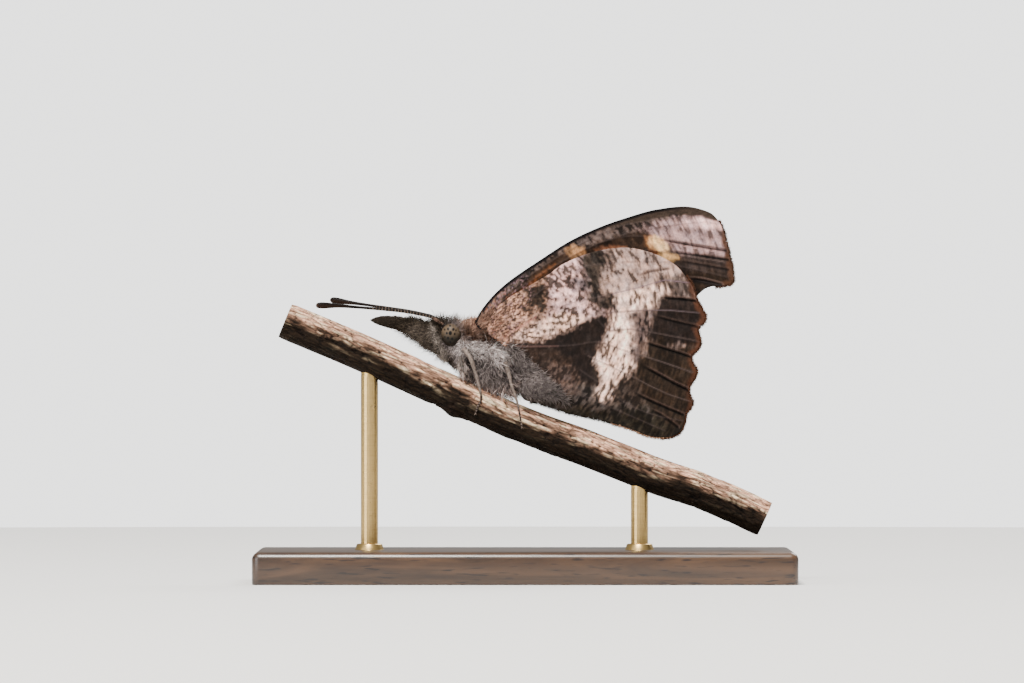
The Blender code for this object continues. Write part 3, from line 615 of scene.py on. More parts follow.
def makeWing(kind, sideName, side, materials):
    wing, innerFace = wings[kind]
    border = wingOutline(wing)
    low, high = border.min(axis=0) - wingSheet["cell"], border.max(axis=0) + wingSheet["cell"]
    across, up = (high - low) / wingSheet["cell"]
    bm = bmesh.new()
    bmesh.ops.create_grid(bm, x_segments=round(across), y_segments=round(up), size=1.0)
    layer = bm.verts.layers.float_color.new("markings")
    numbered = list(enumerate(bm.verts))
    spots = low + (np.array([vert.co[:2] for vert in bm.verts]) + 1.0) / 2.0 * (high - low)
    depth = insideDepth(spots, border)
    for i, vert in numbered:
        vert.co.z = depth[i]
    outside = [face for face in bm.faces if sum(vert.co.z for vert in face.verts) < 0]
    bmesh.ops.delete(bm, geom=outside, context="FACES")
    numbered = [(i, vert) for i, vert in numbered if vert.is_valid]
    for i, vert in numbered:
        if vert.is_boundary:
            gap = border - spots[i]
            spots[i] = border[np.argmin(np.einsum("ij,ij->i", gap, gap))]
    depth = np.maximum(0.0, depth)
    relief, veins, grooves, lips = wingRelief(wing, spots, depth)
    out = innerFace(spots) + wingSheet["setIn"] + wingSheet["thickness"] / 2 + relief
    colours = paintWing(wing, spots)
    if wing["costaInk"]:
        inked = insideDepth(toPixels(*spots.T), wing["costaInk"])
        ink = ease(-1.5, 1.5, inked + 1.2 * flatLumps(spots, (0.4, 0.4), 31))
        shade = paint(*wingInk["costa"]) * (1.0 + 0.35 * flatLumps(spots, (0.3, 0.12), 32))[:, None]
        colours += (shade - colours) * ink[:, None]
        tint(colours, wingInk["costaEdge"], ease(0.36, 0.18, depth) * ease(16.5, 13.0, spots[:, 0]))
    rust = ease(0.6, 0.2, depth + 0.22 * flatLumps(spots, (0.45, 0.45), 33))
    rust *= ease(*wingInk["rustFrom"][kind], spots[:, 0])
    colours += (paint(*wing["fringe"]) * 0.8 - colours) * (rust * wingInk["rust"])[:, None]
    # painted shade in the grooves, and painted highlight on the lips above them
    colours *= (1.0 - wingInk["paintedGrooveShade"] * np.clip(grooves * 1.3, 0, 1))[:, None]
    tint(colours, wingInk["paintedLipLight"], wingInk["paintedLipLightShare"] * lips)
    tint(colours, wingInk["vein"], wingInk["veinShare"] * veins)
    for i, vert in numbered:
        vert[layer] = (*np.clip(colours[i], 0.0, 1.0), 1.0)
        vert.co = (spots[i][0], side * out[i], spots[i][1])
    bmesh.ops.recalc_face_normals(bm, faces=bm.faces)
    if sum(face.normal.y for face in bm.faces) * side < 0:
        bmesh.ops.reverse_faces(bm, faces=bm.faces)
    name = kind + "Sheet." + sideName
    piece = placePiece(name, meshFrom(bm, name), kind, [kind + "_" + sideName], *materials)
    shell = piece.modifiers.new("thickness", "SOLIDIFY")
    shell.thickness = wingSheet["thickness"] * mm
    shell.offset = -1.0
    shell.material_offset = 1
    shell.use_even_offset = False


def scaleDustGroup():
    # a node group of fine scales: lightens and darkens a colour, and gives a height
    group = bpy.data.node_groups.new("scale dust", "ShaderNodeTree")
    for label, kind, value in (("Colour", "Color", (0.5, 0.5, 0.5, 1.0)), ("Contrast", "Float", 0.5),
                               ("Size", "Float", 9000.0)):
        socket = group.interface.new_socket(label, in_out="INPUT", socket_type="NodeSocket" + kind)
        socket.default_value = value
    for label, kind in (("Colour", "Color"), ("Height", "Float")):
        group.interface.new_socket(label, in_out="OUTPUT", socket_type="NodeSocket" + kind)
    ins, outs = group.nodes.new("NodeGroupInput").outputs, group.nodes.new("NodeGroupOutput")
    place = addNode(group, "TexCoord", {}).outputs["Object"]
    scales = addNode(group, "TexVoronoi", {"Vector": place, "Scale": ins["Size"]})
    grey = addNode(group, "RGBToBW", {"Color": scales.outputs["Color"]})
    both = sumUp(group, "ADD", grey.outputs["Val"], noise(group, place, 5200.0, 3.0))
    amount = sumUp(group, "MULTIPLY", sumUp(group, "SUBTRACT", both, 1.0), ins["Contrast"])
    colour = toned(group, ins["Colour"], sumUp(group, "ADD", amount, 1.0))
    feed(group, outs, {"Colour": colour, "Height": both})
    return group


scaleDust = scaleDustGroup()


def scaledMaterial(name, contrast, roughness, strength):
    # a surface of fine scales whose colour is painted on the mesh
    material, tree, shader = newMaterial(name, (0.3, 0.25, 0.24), roughness)
    painted = addNode(tree, "Attribute", {}, attribute_name="markings").outputs["Color"]
    dust = addNode(tree, "Group", {}, node_tree=scaleDust)
    feed(tree, dust, {"Colour": painted, "Contrast": contrast})
    feed(tree, shader, {"Base Color": dust.outputs["Colour"], "Specular IOR Level": 0.06,
                        "Normal": bump(tree, dust.outputs["Height"], strength, 0.03)})
    return material


def dorsalMaterial():
    # the upper side, dark brown with orange patches, which shows only in the gap between the wings
    material, tree, shader = newMaterial("wing upper side", (0.05, 0.03, 0.02), 0.7)
    cloud = noise(tree, addNode(tree, "TexCoord", {}).outputs["Object"], 160.0, 2.0)
    colour = ramp(tree, cloud, (0.5, (0.045, 0.028, 0.02)), (0.62, (0.42, 0.17, 0.04)))
    dust = addNode(tree, "Group", {}, node_tree=scaleDust)
    feed(tree, dust, {"Colour": colour, "Contrast": 0.5})
    feed(tree, shader, {"Base Color": dust.outputs["Colour"]})
    return material


wingMaterials = [scaledMaterial("wing scales", 0.42, 0.72, 0.35), dorsalMaterial()]
for sideName, side in sides:
    for kind in wings:
        makeWing(kind, sideName, side, wingMaterials)


# Shared makers for tubes and for hair
def tubeSpots(path, radii, u):
    # the centre, two directions across and the radius of a tube round `path`, u along it from 0 to 1
    path = np.array(path, dtype=float)
    run = runAlong(path)
    run /= run[-1]
    tangent = np.gradient(path, run, axis=0)
    centre = np.column_stack([np.interp(u, run, path[:, k]) for k in range(3)])
    forward = unit(np.column_stack([np.interp(u, run, tangent[:, k]) for k in range(3)]))
    across = unit(np.array((0.0, 1.0, 0.0)) - forward[:, 1:2] * forward)
    return centre, across, np.cross(forward, across), np.interp(u, run, radii)


def rolledGrid(rings, turns):
    # a grid to roll into a tube, with u along it and v round it from 0 to 1
    bm = bmesh.new()
    bmesh.ops.create_grid(bm, x_segments=rings, y_segments=turns, size=1.0)
    u, v = (np.array([vert.co[:2] for vert in bm.verts]).T + 1.0) / 2.0
    return bm, u, v


def makeTube(path, radii, rings, turns, width=1.0):
    # a closed tube in millimetres
    bm, u, v = rolledGrid(rings, turns)
    centre, across, upward, radius = tubeSpots(path, radii, u)
    turn = 2 * math.pi * v
    out = across * (np.cos(turn) * width)[:, None] + upward * np.sin(turn)[:, None]
    for vert, spot in zip(bm.verts, centre + out * radius[:, None]):
        vert.co = spot
    bmesh.ops.remove_doubles(bm, verts=bm.verts, dist=1e-5)
    bmesh.ops.holes_fill(bm, edges=[edge for edge in bm.edges if edge.is_boundary], sides=0)
    bmesh.ops.recalc_face_normals(bm, faces=bm.faces)
    return bm


def joinAll(parts):
    whole = bmesh.new()
    for part in parts:
        mesh = bpy.data.meshes.new("part")
        part.to_mesh(mesh)
        whole.from_mesh(mesh)
        part.free()
        bpy.data.meshes.remove(mesh)
    return whole


def flow(points, guides):
    # the lie of the coat at (x, y, z): guides are photo pixels with a direction right and down
    gap = points[:, None, [0, 2]] - atPixels([guide[0] for guide in guides])[None]
    share = 1.0 / (np.einsum("ijk,ijk->ij", gap, gap) + 0.05) ** 2
    share /= share.sum(axis=1)[:, None]
    right, down = (share @ np.array([guide[1][k] for guide in guides]) for k in (0, 1))
    return np.column_stack([right, np.zeros(len(points)), -down])


def tuftLook(*numbers):
    return dict(zip(("count", "levels", "length", "vary", "lift", "bow", "width", "stray", "toneVary",
                     "paintedRootShade", "paintedTipLight", "cluster"), numbers))


def growTufts(name, roots, normals, lie, look, colours, seed, patchUV, grow=1.0):
    # thin tapered tufts as one mesh in metres, with tones, painted shade at the roots and painted light at
    # the tips, and the bake map
    random = np.random.RandomState(seed)
    count, levels = len(roots), look["levels"]
    lie = lie - np.einsum("ij,ij->i", lie, normals)[:, None] * normals
    clump = np.column_stack([lumps(roots, 0.3, seed + k) for k in range(3)])
    lie += look["stray"] * random.randn(count, 3) + 0.55 * clump
    lie /= np.linalg.norm(lie, axis=1)[:, None] + 1e-9
    side = np.cross(lie, normals)
    side /= np.linalg.norm(side, axis=1)[:, None] + 1e-9
    up = np.cross(side, lie)
    length = look["length"] * grow * (1.0 + look["vary"] * random.uniform(-1, 1, count))
    lift = look["lift"] * (1.0 + 0.7 * random.uniform(-1, 1, count))
    bow = look["bow"] * random.uniform(-1.0, 1.0, count)
    width = look["width"] * random.uniform(0.7, 1.3, count)
    spots = []
    for level in range(levels):
        t = level / levels
        middle = roots + lie * (length * t * np.cos(lift * (1 - 0.5 * t)))[:, None]
        middle = middle + normals * (length * t * np.sin(lift * (1 - 0.55 * t)) - 0.03)[:, None]
        middle = middle + side * (bow * length * t * t)[:, None]
        thick = width * (1.0 - 0.55 * t ** 2)
        for corner in range(3):
            turn = 2 * math.pi * corner / 3 + 0.5
            spots.append(middle + side * (thick * math.cos(turn))[:, None]
                         + up * (thick * 0.7 * math.sin(turn))[:, None])
    tip = roots + lie * (length * np.cos(lift * 0.5))[:, None] + side * (bow * length)[:, None]
    spots.append(tip + normals * (length * np.sin(lift * 0.45) - 0.03)[:, None])
    vertices = np.stack(spots, axis=1).reshape(-1, 3) * mm
    faces = [(2, 1, 0)]
    for a in range(3 * levels - 3):
        b = a + 1 if a % 3 < 2 else a - 2
        faces += [(a, b, b + 3), (a, b + 3, a + 3)]
    last = 3 * levels - 3
    faces += [(last + corner, last + (corner + 1) % 3, last + 3) for corner in range(3)]
    each = 3 * levels + 1
    faces = (np.array(faces)[None] + each * np.arange(count)[:, None, None]).reshape(-1, 3)
    mesh = bpy.data.meshes.new(name)
    mesh.vertices.add(len(vertices))
    mesh.vertices.foreach_set("co", vertices.ravel())
    mesh.loops.add(faces.size)
    mesh.loops.foreach_set("vertex_index", faces.ravel().astype(np.int32))
    mesh.polygons.add(len(faces))
    mesh.polygons.foreach_set("loop_start", np.arange(0, faces.size, 3, dtype=np.int32))
    mesh.update(calc_edges=True)
    tone = np.arange(each) // 3 / levels
    shade = random.uniform(1.0 - look["toneVary"], 1.0 + look["toneVary"], count)
    shade *= np.clip(1.0 + look["cluster"] * lumps(roots, 0.15, seed + 9), 0.15, 2.0)
    # painted shade at the roots and painted light towards the tips of each tuft
    shade = shade[:, None] * (look["paintedRootShade"] + (look["paintedTipLight"] - look["paintedRootShade"]) * tone)
    setMarkings(mesh, (colours[:, None, :] * shade[:, :, None]).reshape(-1, 3))
    patch = np.array([((k % 3) / 2 - 0.5, (k // 3) / max(1, levels) - 0.5) for k in range(each)]) * 0.003
    patch = (patchUV[:, None, :] + patch[None]).reshape(-1, 2)
    mesh.uv_layers.new(name="OFBake").data.foreach_set("uv", patch[faces.ravel()].ravel())
    return mesh


def makeFringe(kind, sideName, side, parts, look):
    # short scales along stretches of a wing's edge
    wing, innerFace = wings[kind]
    name = kind + "Fringe"
    border = wingOutline(wing)
    along = np.roll(border, -1, axis=0) - border
    away = unit(np.column_stack([along[:, 1], -along[:, 0]]))
    if insideDepth(border[:1] + 0.2 * away[:1], border)[0] > 0:
        away = -away
    random = np.random.RandomState(len(name) + side)
    roots, lies, colours = [], [], []
    for colour, area, count in parts:
        picks = random.choice(np.where(insideDepth(toPixels(*border.T), area) > 0)[0], count)
        flat = border[picks] + along[picks] * random.rand(count, 1) - away[picks] * 0.05
        level = innerFace(flat) + wingSheet["setIn"]
        level += wingSheet["thickness"] * random.uniform(-0.45, 0.5, count)
        roots.append(np.column_stack([flat[:, 0], side * level, flat[:, 1]]))
        lies.append(np.column_stack([away[picks][:, 0], np.zeros(count), away[picks][:, 1]]))
        colours.append(coatOf(colour, count))
    roots, lies, colours = (np.concatenate(group) for group in (roots, lies, colours))
    colours *= (1.0 + 0.5 * lumps(roots, 0.5, 79))[:, None]
    normals = np.tile((0.0, float(side), 0.0), (len(roots), 1))
    flat = np.column_stack([(roots[:, 0] + 6.0) / 26.0, (roots[:, 2] - 12.0) / 26.0])
    mesh = growTufts(name, roots, normals, lies, look, colours, 400 + side, np.clip(flat, 0.01, 0.99))
    placePiece(name + "." + sideName, mesh, "hindwing", [], coatMaterial)


def scatterRoots(mesh, count, weigh, seed):
    # random roots on a mesh in metres: places in millimetres and normals
    random = np.random.RandomState(seed)
    mesh.calc_loop_triangles()
    corners = np.empty(len(mesh.loop_triangles) * 3, dtype=np.int32)
    mesh.loop_triangles.foreach_get("vertices", corners)
    points = readPoints(mesh)[corners.reshape(-1, 3)] / mm
    cross = np.cross(points[:, 1] - points[:, 0], points[:, 2] - points[:, 0])
    area = np.linalg.norm(cross, axis=1)
    share = area * weigh(points.mean(axis=1))
    picks = random.choice(len(area), count, p=share / share.sum())
    a, b = random.rand(count), random.rand(count)
    flip = a + b > 1
    a[flip], b[flip] = 1 - a[flip], 1 - b[flip]
    first, second, third = points[picks].transpose(1, 0, 2)
    roots = first + a[:, None] * (second - first) + b[:, None] * (third - first)
    return roots, cross[picks] / area[picks][:, None]


# Body: one skin for head, snout, thorax and abdomen, with its coat
print("stage: body skin and coat")
skin = {"thoraxCoat": 0.38, "headCoat": 0.22, "palpCoat": 0.07, "abdomenCoat": 0.25, "voxel": 0.11,
        "headCentre": (-7.05, 22.72), "headSize": (1.45, 0.8, 1.5),
        "palpLine": [(-6.75, 21.0, 0.8), (-7.8, 21.95, 0.92), (-8.75, 22.75, 1.06), (-9.6, 23.27, 0.94),
                     (-10.5, 23.65, 0.8), (-11.6, 23.92, 0.7), (-12.8, 24.12, 0.64),
                     (-13.5, 24.2, 0.52), (-14.0, 24.23, 0.36), (-14.36, 24.24, 0.16)],
        # shade: how much darker the skin is painted, as painted shade deep in the coat
        "palpMiddle": 0.5, "palpWidth": 0.42, "rings": 7, "ringDepth": 0.04, "shade": 0.55,
        # neck, waist and brow: x, z and half sizes
        "bridges": [(-6.0, 22.5, (0.9, 0.55, 1.0)), (-0.9, 19.1, (1.1, 0.8, 1.1)),
                    (-8.25, 23.5, (0.95, 0.5, 0.62))]}


def makeOvoid(x, z, size, shaped=False):
    # an ovoid with half sizes along x, y and z, or the fuller, sloping shape of the thorax
    bm = bmesh.new()
    bmesh.ops.create_uvsphere(bm, u_segments=40, v_segments=24, radius=1.0)
    for vert in bm.verts:
        behind, across, above = vert.co
        if shaped:
            power = 2.0 if above > 0 else body["bottomPower"]
            reach = math.hypot(behind, above)
            fuller = reach / max(1e-9, abs(behind) ** power + abs(above) ** power) ** (1.0 / power)
            if reach > 0:
                behind, above = behind * fuller, above * fuller
            across *= 1.0 - body["topTaper"] * max(0.0, above)
        behind, above, turn = behind * size[0], above * size[2], body["slope"] if shaped else 0.0
        vert.co = (x + behind * math.cos(turn) + above * math.sin(turn), across * size[1],
                   z - behind * math.sin(turn) + above * math.cos(turn))
    return bm


def makeSkin():
    coat = skin["thoraxCoat"]
    thoraxSize = [body[key] - coat for key in ("thoraxLength", "thoraxWidth", "thoraxHeight")]
    parts = [makeOvoid(*body["thoraxCentre"], thoraxSize, shaped=True),
             makeOvoid(*skin["headCentre"], [size - skin["headCoat"] for size in skin["headSize"]])]
    parts += [makeOvoid(*bridge) for bridge in skin["bridges"]]
    line = smoothLine(skin["palpLine"], 0.25)
    for side in (-1, 1):
        path = [(x, side * skin["palpMiddle"] * (0.5 + 0.5 * min(1.0, max(0.0, (x + 12.5) / 4.0))), z)
                for x, z, half in line]
        radii = [max(0.16, half - skin["palpCoat"]) for x, z, half in line]
        parts.append(makeTube(path, radii, 60, 20, width=skin["palpWidth"]))
    line = smoothLine(body["abdomenLine"], 0.2)
    radii = []
    for t in np.arange(len(line)) / (len(line) - 1):
        radii.append((body["abdomenRadius"] - skin["abdomenCoat"]) * (1.0 - 0.55 * t ** 3)
                     * math.sqrt(1.0 - 0.85 * t ** 8)
                     - skin["ringDepth"] * math.cos(2 * math.pi * skin["rings"] * t))
    parts.append(makeTube([(x, 0.0, z) for x, z in line], radii, 80, 28))
    holder = addObject("skin", meshFrom(joinAll(parts), "skin"))
    remesh = holder.modifiers.new("remesh", "REMESH")
    remesh.mode = "VOXEL"
    remesh.voxel_size = skin["voxel"] * mm
    bm = bmesh.new()
    bm.from_mesh(holder.evaluated_get(bpy.context.evaluated_depsgraph_get()).to_mesh())
    bpy.data.objects.remove(holder)
    for _ in range(3):
        bmesh.ops.smooth_vert(bm, verts=bm.verts, factor=0.5, use_axis_x=True, use_axis_y=True,
                              use_axis_z=True)
    bmesh.ops.recalc_face_normals(bm, faces=bm.faces)
    made = bpy.data.meshes.new("bodySkin")
    bm.to_mesh(made)
    bm.free()
    return made


bodyBase = (160, 151, 149)
bodyPatches = [
    # colour, softness, outline in pixels
    ((208, 203, 201), 10, [(456, 338), (480, 336), (505, 345), (514, 350), (500, 357), (458, 354)]),
    ((150, 140, 136), 8, [(476, 366), (500, 364), (512, 374), (510, 382), (480, 380)]),
    ((222, 213, 209), 7, [(462, 378), (490, 384), (512, 386), (506, 402), (466, 400)]),
    ((182, 160, 144), 5, [(455, 316), (486, 300), (506, 310), (504, 332), (476, 336), (461, 334)]),
    ((184, 158, 140), 3, [(467, 322), (476, 320), (478, 329), (470, 330)]),
    ((108, 78, 62), 2, [(462, 333), (480, 334), (495, 338), (506, 345), (503, 348), (489, 343), (476, 339),
                        (463, 338)]),
    ((96, 84, 70), 5, [(432, 314), (462, 314), (464, 322), (445, 326), (432, 324)]),
    ((74, 62, 50), 5, [(366, 312), (430, 314), (446, 322), (446, 345), (456, 365), (440, 372), (400, 345),
                       (366, 326)]),
    ((118, 104, 92), 5, [(408, 328), (424, 326), (436, 338), (440, 356), (424, 346), (408, 336)]),
    ((168, 160, 153), 3, [(431, 325), (435, 327), (442, 339), (449, 358), (445, 362), (437, 348),
                          (433, 336)]),
    ((194, 186, 182), 2, [(459, 356), (464, 355), (468, 370), (470, 379), (464, 377), (460, 366)]),
    # painted shadow beside the mid leg
    ((70, 60, 56), 2, [(465, 353), (469, 354), (474, 372), (476, 382), (471, 378), (467, 366)]),
    ((104, 92, 84), 5, [(515, 380), (600, 395), (610, 420), (520, 410)]),
]


def bodyColours(points):
    # the coat's colour at (x, y, z)
    pixels = toPixels(points[:, 0], points[:, 2])
    colours = coatOf(bodyBase, len(points))
    for order, (colour, soft, outline) in enumerate(bodyPatches):
        inward = insideDepth(pixels, smoothLine(outline, 5.0, closed=True))
        tint(colours, colour, ease(-soft, soft, inward + 3.0 * lumps(points, 0.5, 90 + order)))
    return colours * (1.0 + 0.22 * lumps(points, 0.55, 88) + 0.15 * lumps(points, 0.2, 89))[:, None]


def bodyMap(points):
    # an unwrap of the body: along its axis, and round it
    along = (points[:, 0] + 15.0) / 23.0
    axis = [(-14.4, 24.2), (-10.5, 23.6), (-7.9, 22.4), (-4.0, 21.4), (-1.1, 18.6), (6.7, 16.5)]
    low = np.interp(points[:, 0], *zip(*axis))
    turn = np.arctan2(points[:, 1], points[:, 2] - low) / (2 * math.pi) + 0.5
    return np.column_stack([0.02 + 0.96 * along, 0.02 + 0.96 * turn])


coatGuides = [
    ((462, 345), (0.5, 0.8)), ((470, 362), (0.3, 1.0)), ((482, 344), (0.9, 0.5)),
    ((490, 375), (0.2, 1.0)), ((505, 350), (0.8, 0.5)), ((515, 372), (0.6, 0.8)),
    ((530, 392), (0.9, 0.5)), ((550, 405), (1.0, 0.4)), ((476, 388), (0.1, 1.0)),
    ((462, 376), (0.25, 1.0)), ((447, 322), (0.5, -0.9)), ((460, 321), (0.4, -0.9)),
    ((470, 326), (0.6, -0.7)), ((484, 316), (0.7, -0.6)), ((478, 333), (0.9, 0.1)),
    ((600, 402), (1.0, 0.3)), ((440, 340), (0.3, 1.0)), ((452, 358), (0.3, 1.0)),
    ((495, 395), (0.3, 1.0)), ((510, 394), (0.3, 1.0)), ((441, 318), (-0.2, -1.0)),
    ((500, 330), (0.9, -0.1)), ((512, 389), (1.0, 0.35)), ((520, 395), (1.0, 0.3))]
palpGuides = [
    ((372, 321), (-1.0, -0.05)), ((395, 324), (-1.0, -0.1)), ((420, 330), (-0.9, -0.35)),
    ((432, 345), (-0.6, -0.2)), ((425, 340), (-0.7, 0.7)), ((440, 358), (-0.3, 0.9)),
    ((450, 366), (-0.1, 1.0)), ((415, 318), (-0.8, -0.5)), ((435, 317), (-0.4, -0.9)),
    ((410, 335), (-0.8, 0.5))]
coats = {
    # seed, and the tufts' count, levels, length, vary, lift, bow, width, stray, tone spread, painted shade
    # at the roots, painted light at the tips and clusters
    "thoraxCoat": (201, tuftLook(15000, 2, 0.58, 0.5, 0.42, 0.7, 0.025, 0.62, 0.95, 0.06, 1.8, 0.6)),
    "bellyCoat": (206, tuftLook(3200, 3, 1.2, 0.35, 0.8, 0.4, 0.024, 0.35, 0.9, 0.2, 1.9, 0.5)),
    "flankCoat": (208, tuftLook(3000, 4, 1.3, 0.4, 0.34, 0.5, 0.025, 0.42, 0.9, 0.2, 2.0, 0.0)),
    "headCrest": (211, tuftLook(2600, 3, 0.95, 0.4, 0.9, 0.3, 0.017, 0.3, 0.3, 0.5, 1.1, 0.0)),
    "collarCoat": (216, tuftLook(4400, 3, 0.7, 0.45, 0.55, 0.5, 0.023, 0.42, 0.95, 0.25, 1.9, 0.0)),
    "snoutCoat": (221, tuftLook(15000, 2, 0.34, 0.5, 0.45, 0.3, 0.024, 0.22, 0.75, 0.35, 2.1, 0.0)),
    "snoutBeard": (231, tuftLook(1700, 3, 0.68, 0.45, 0.95, 0.3, 0.016, 0.3, 0.3, 0.6, 1.2, 0.0)),
    "abdomenCoat": (241, tuftLook(5000, 2, 0.5, 0.4, 0.3, 0.2, 0.03, 0.2, 0.35, 0.4, 1.3, 0.0)),
}


def coatWeight(name, points):
    # where each coat grows
    x, y, z = points[:, 0], np.abs(points[:, 1]), points[:, 2]
    bottom = np.interp(x, [-13.0, -10.5, -8.75, -7.0], [23.9, 23.2, 22.2, 20.9])
    top = np.interp(x, [-13.0, -10.5, -8.75, -7.5], [30.0, 24.1, 23.7, 23.6])
    return {
        "thoraxCoat": ((x > -6.1) & (x < -0.6)) * (1.0 - 0.75 * (z > 23.2) * (x > -4.6)),
        "bellyCoat": (bodyAxes(x, z)[1] < -1.3) & (x < -1.45) & (x > -5.9),
        "flankCoat": (x > -3.6) & (x < -1.0) & (y > 0.55) & (z < 22.2),
        "headCrest": (x > -8.2) & (x < -4.6) & (z > 22.9 + 0.35 * np.abs(x + 6.0) * (x < -6.0)),
        "collarCoat": (x > -5.9) & (x < -2.6) & (z > 22.5),
        "snoutCoat": (x < -5.7) * (1.0 + 0.6 * (x < -8.0)),
        "snoutBeard": (x > -11.8) & (x < -7.3) & ((z < bottom) | ((z > top) & (x < -7.6))),
        "abdomenCoat": x > -1.0,
    }[name]


def coatLength(name, points):
    # longest under the thorax and at its rear, short near the neck and at the snout's tip
    x, z = points[:, 0], points[:, 2]
    if name == "thoraxCoat":
        rear = ease(-4.5, -2.5, x) * ease(-0.9, -2.0, x)
        front = 0.6 * ease(-5.3, -6.2, x) * ease(21.6, 20.6, z)
        return (0.8 + 0.45 * rear - 0.25 * ease(22.0, 23.5, z)) * (1.0 - front)
    if name == "bellyCoat":
        return 1.0 + 0.6 * ease(-3.8, -2.6, x)
    return 0.2 + 0.95 * ease(-14.0, -9.0, x) if name == "snoutCoat" else 1.0


def makeCoat(name):
    seed, look = coats[name]
    roots, normals = scatterRoots(bodySkin.data, look["count"], lambda spots: coatWeight(name, spots), seed)
    onSnout = "snout" in name
    lie = flow(roots, palpGuides if onSnout else coatGuides)
    mesh = growTufts(name, roots, normals, lie, look, bodyColours(roots), seed + 1, bodyMap(roots),
                     coatLength(name, roots))
    placePiece(name, mesh, "palp" if onSnout else "hair", [], coatMaterial)


skinMaterial = scaledMaterial("body skin", 0.5, 0.9, 0.5)
coatMaterial = scaledMaterial("coat hair", 0.2, 0.62, 0.1)
skinMesh = makeSkin()
# the skin between the tufts painted darker, as painted shade deep in the coat
setMarkings(skinMesh, bodyColours(readPoints(skinMesh) / mm) * skin["shade"])
bodySkin = placePiece("bodySkin", skinMesh, "hair", ["head", "thorax", "abdomen", "palp_left", "palp_right"],
                      skinMaterial)
for coatName in coats:
    makeCoat(coatName)

# Hair on the bases of the wings: grey and combed back, and short and tan in front
wingHairs = {
    "hindwingHair": {
        "sheet": "hindwingSheet", "colour": (158, 149, 146),
        "look": tuftLook(11000, 2, 0.7, 0.5, 0.26, 0.6, 0.024, 0.46, 0.95, 0.08, 2.0, 0.6),
        "area": [(470, 338), (500, 346), (516, 352), (524, 362), (540, 376), (556, 390), (562, 399),
                 (548, 397), (532, 391), (516, 387), (500, 386), (478, 376)],
        "guides": [((505, 348), (0.6, 0.8)), ((515, 362), (0.6, 0.8)), ((525, 376), (0.85, 0.6)),
                   ((545, 394), (1.0, 0.3)), ((530, 391), (1.0, 0.25)), ((514, 386), (0.85, 0.4)),
                   ((508, 374), (0.6, 0.8))]},
    "shoulderHair": {
        "sheet": "forewingSheet", "colour": (176, 150, 132),
        "look": tuftLook(1000, 2, 0.6, 0.5, 0.3, 0.3, 0.02, 0.3, 0.6, 0.5, 1.5, 0.0),
        "area": [(468, 344), (474, 328), (484, 318), (492, 313), (497, 318), (492, 336), (484, 344)],
        "guides": [((476, 318), (0.7, -0.7)), ((490, 310), (0.7, -0.7)), ((484, 330), (1.0, -0.3))]},
    "frontHair": {
        "sheet": "hindwingSheet", "colour": (176, 150, 132),
        "look": tuftLook(300, 2, 0.5, 0.5, 0.22, 0.3, 0.018, 0.3, 0.6, 0.5, 1.5, 0.0),
        "area": [(484, 346), (484, 322), (492, 312), (502, 312), (504, 326), (500, 344)],
        "guides": [((490, 320), (0.7, -0.6)), ((505, 305), (0.75, -0.6)), ((500, 335), (1.0, 0.0)),
                   ((488, 335), (0.9, -0.3))]},
}


def makeWingHair(name, sideName, side):
    hair = wingHairs[name]
    look = hair["look"]

    def onBase(points):
        inward = insideDepth(toPixels(points[:, 0], points[:, 2]), hair["area"])
        return ease(-6.0, 8.0, inward + 5.0 * lumps(points, 0.7, 77))

    seed = look["count"] % 97 + side
    sheet = bpy.data.objects[hair["sheet"] + "." + sideName].data
    roots, normals = scatterRoots(sheet, look["count"], onBase, seed)
    colours = coatOf(hair["colour"], len(roots))
    colours *= (1.0 + 0.25 * lumps(roots, 0.5, 78) - 0.3 * ease(0.5, 3.0, roots[:, 0]))[:, None]
    flat = np.column_stack([(roots[:, 0] + 6.0) / 24.0 + 0.25 * (1 + side), (roots[:, 2] - 14.0) / 14.0])
    mesh = growTufts(name, roots, normals, flow(roots, hair["guides"]), look, colours, seed + 10,
                     np.clip(flat, 0.01, 0.99))
    placePiece(name + "." + sideName, mesh, "hindwing", [], coatMaterial)


for hairName in wingHairs:
    for sideName, side in sides:
        makeWingHair(hairName, sideName, side)

# Fringes of scales: rust brown on the outer edges, pale under the hindwing
fringe = tuftLook(0, 2, 0.26, 0.5, 0.1, 0.3, 0.022, 0.3, 0.6, 0.6, 1.3, 0.0)
fringeParts = {
    # colour, area in pixels, count
    "hindwing": [((124, 78, 54),
                  [(640, 276), (720, 276), (730, 440), (660, 445), (676, 360), (672, 300)], 2600),
                 ((196, 176, 156), [(612, 424), (622, 414), (672, 426), (668, 450), (612, 440)], 500),
                 ((70, 58, 48), [(530, 400), (620, 412), (620, 436), (530, 414)], 500)],
    "forewing": [((118, 78, 56), [(716, 220), (740, 220), (745, 300), (700, 300), (722, 280)], 800)],
}
for sideName, side in sides:
    for kind, parts in fringeParts.items():
        makeFringe(kind, sideName, side, parts, fringe)

# Eyes: domes with the dark spots that a living eye shows
print("stage: eyes, antennae and legs")
eyes = {"centre": (-6.85, 22.85), "size": (0.93, 0.8, 1.08), "inward": 0.62,
        # below: painted shade on the lower part of each eye
        "colour": (136, 115, 92), "below": (44, 36, 25), "dark": (10, 7, 5), "facets": 26000.0,
        "spots": [(450.4, 333.1, 1.15), (448.1, 329.0, 0.75), (453.4, 329.4, 0.8), (446.9, 333.2, 0.7),
                  (448.1, 338.1, 0.8), (452.2, 338.9, 0.75), (454.8, 334.0, 0.6), (450.2, 325.8, 0.6),
                  (444.8, 329.6, 0.5), (456.0, 330.4, 0.5), (444.9, 337.0, 0.5), (450.3, 342.2, 0.55)]}


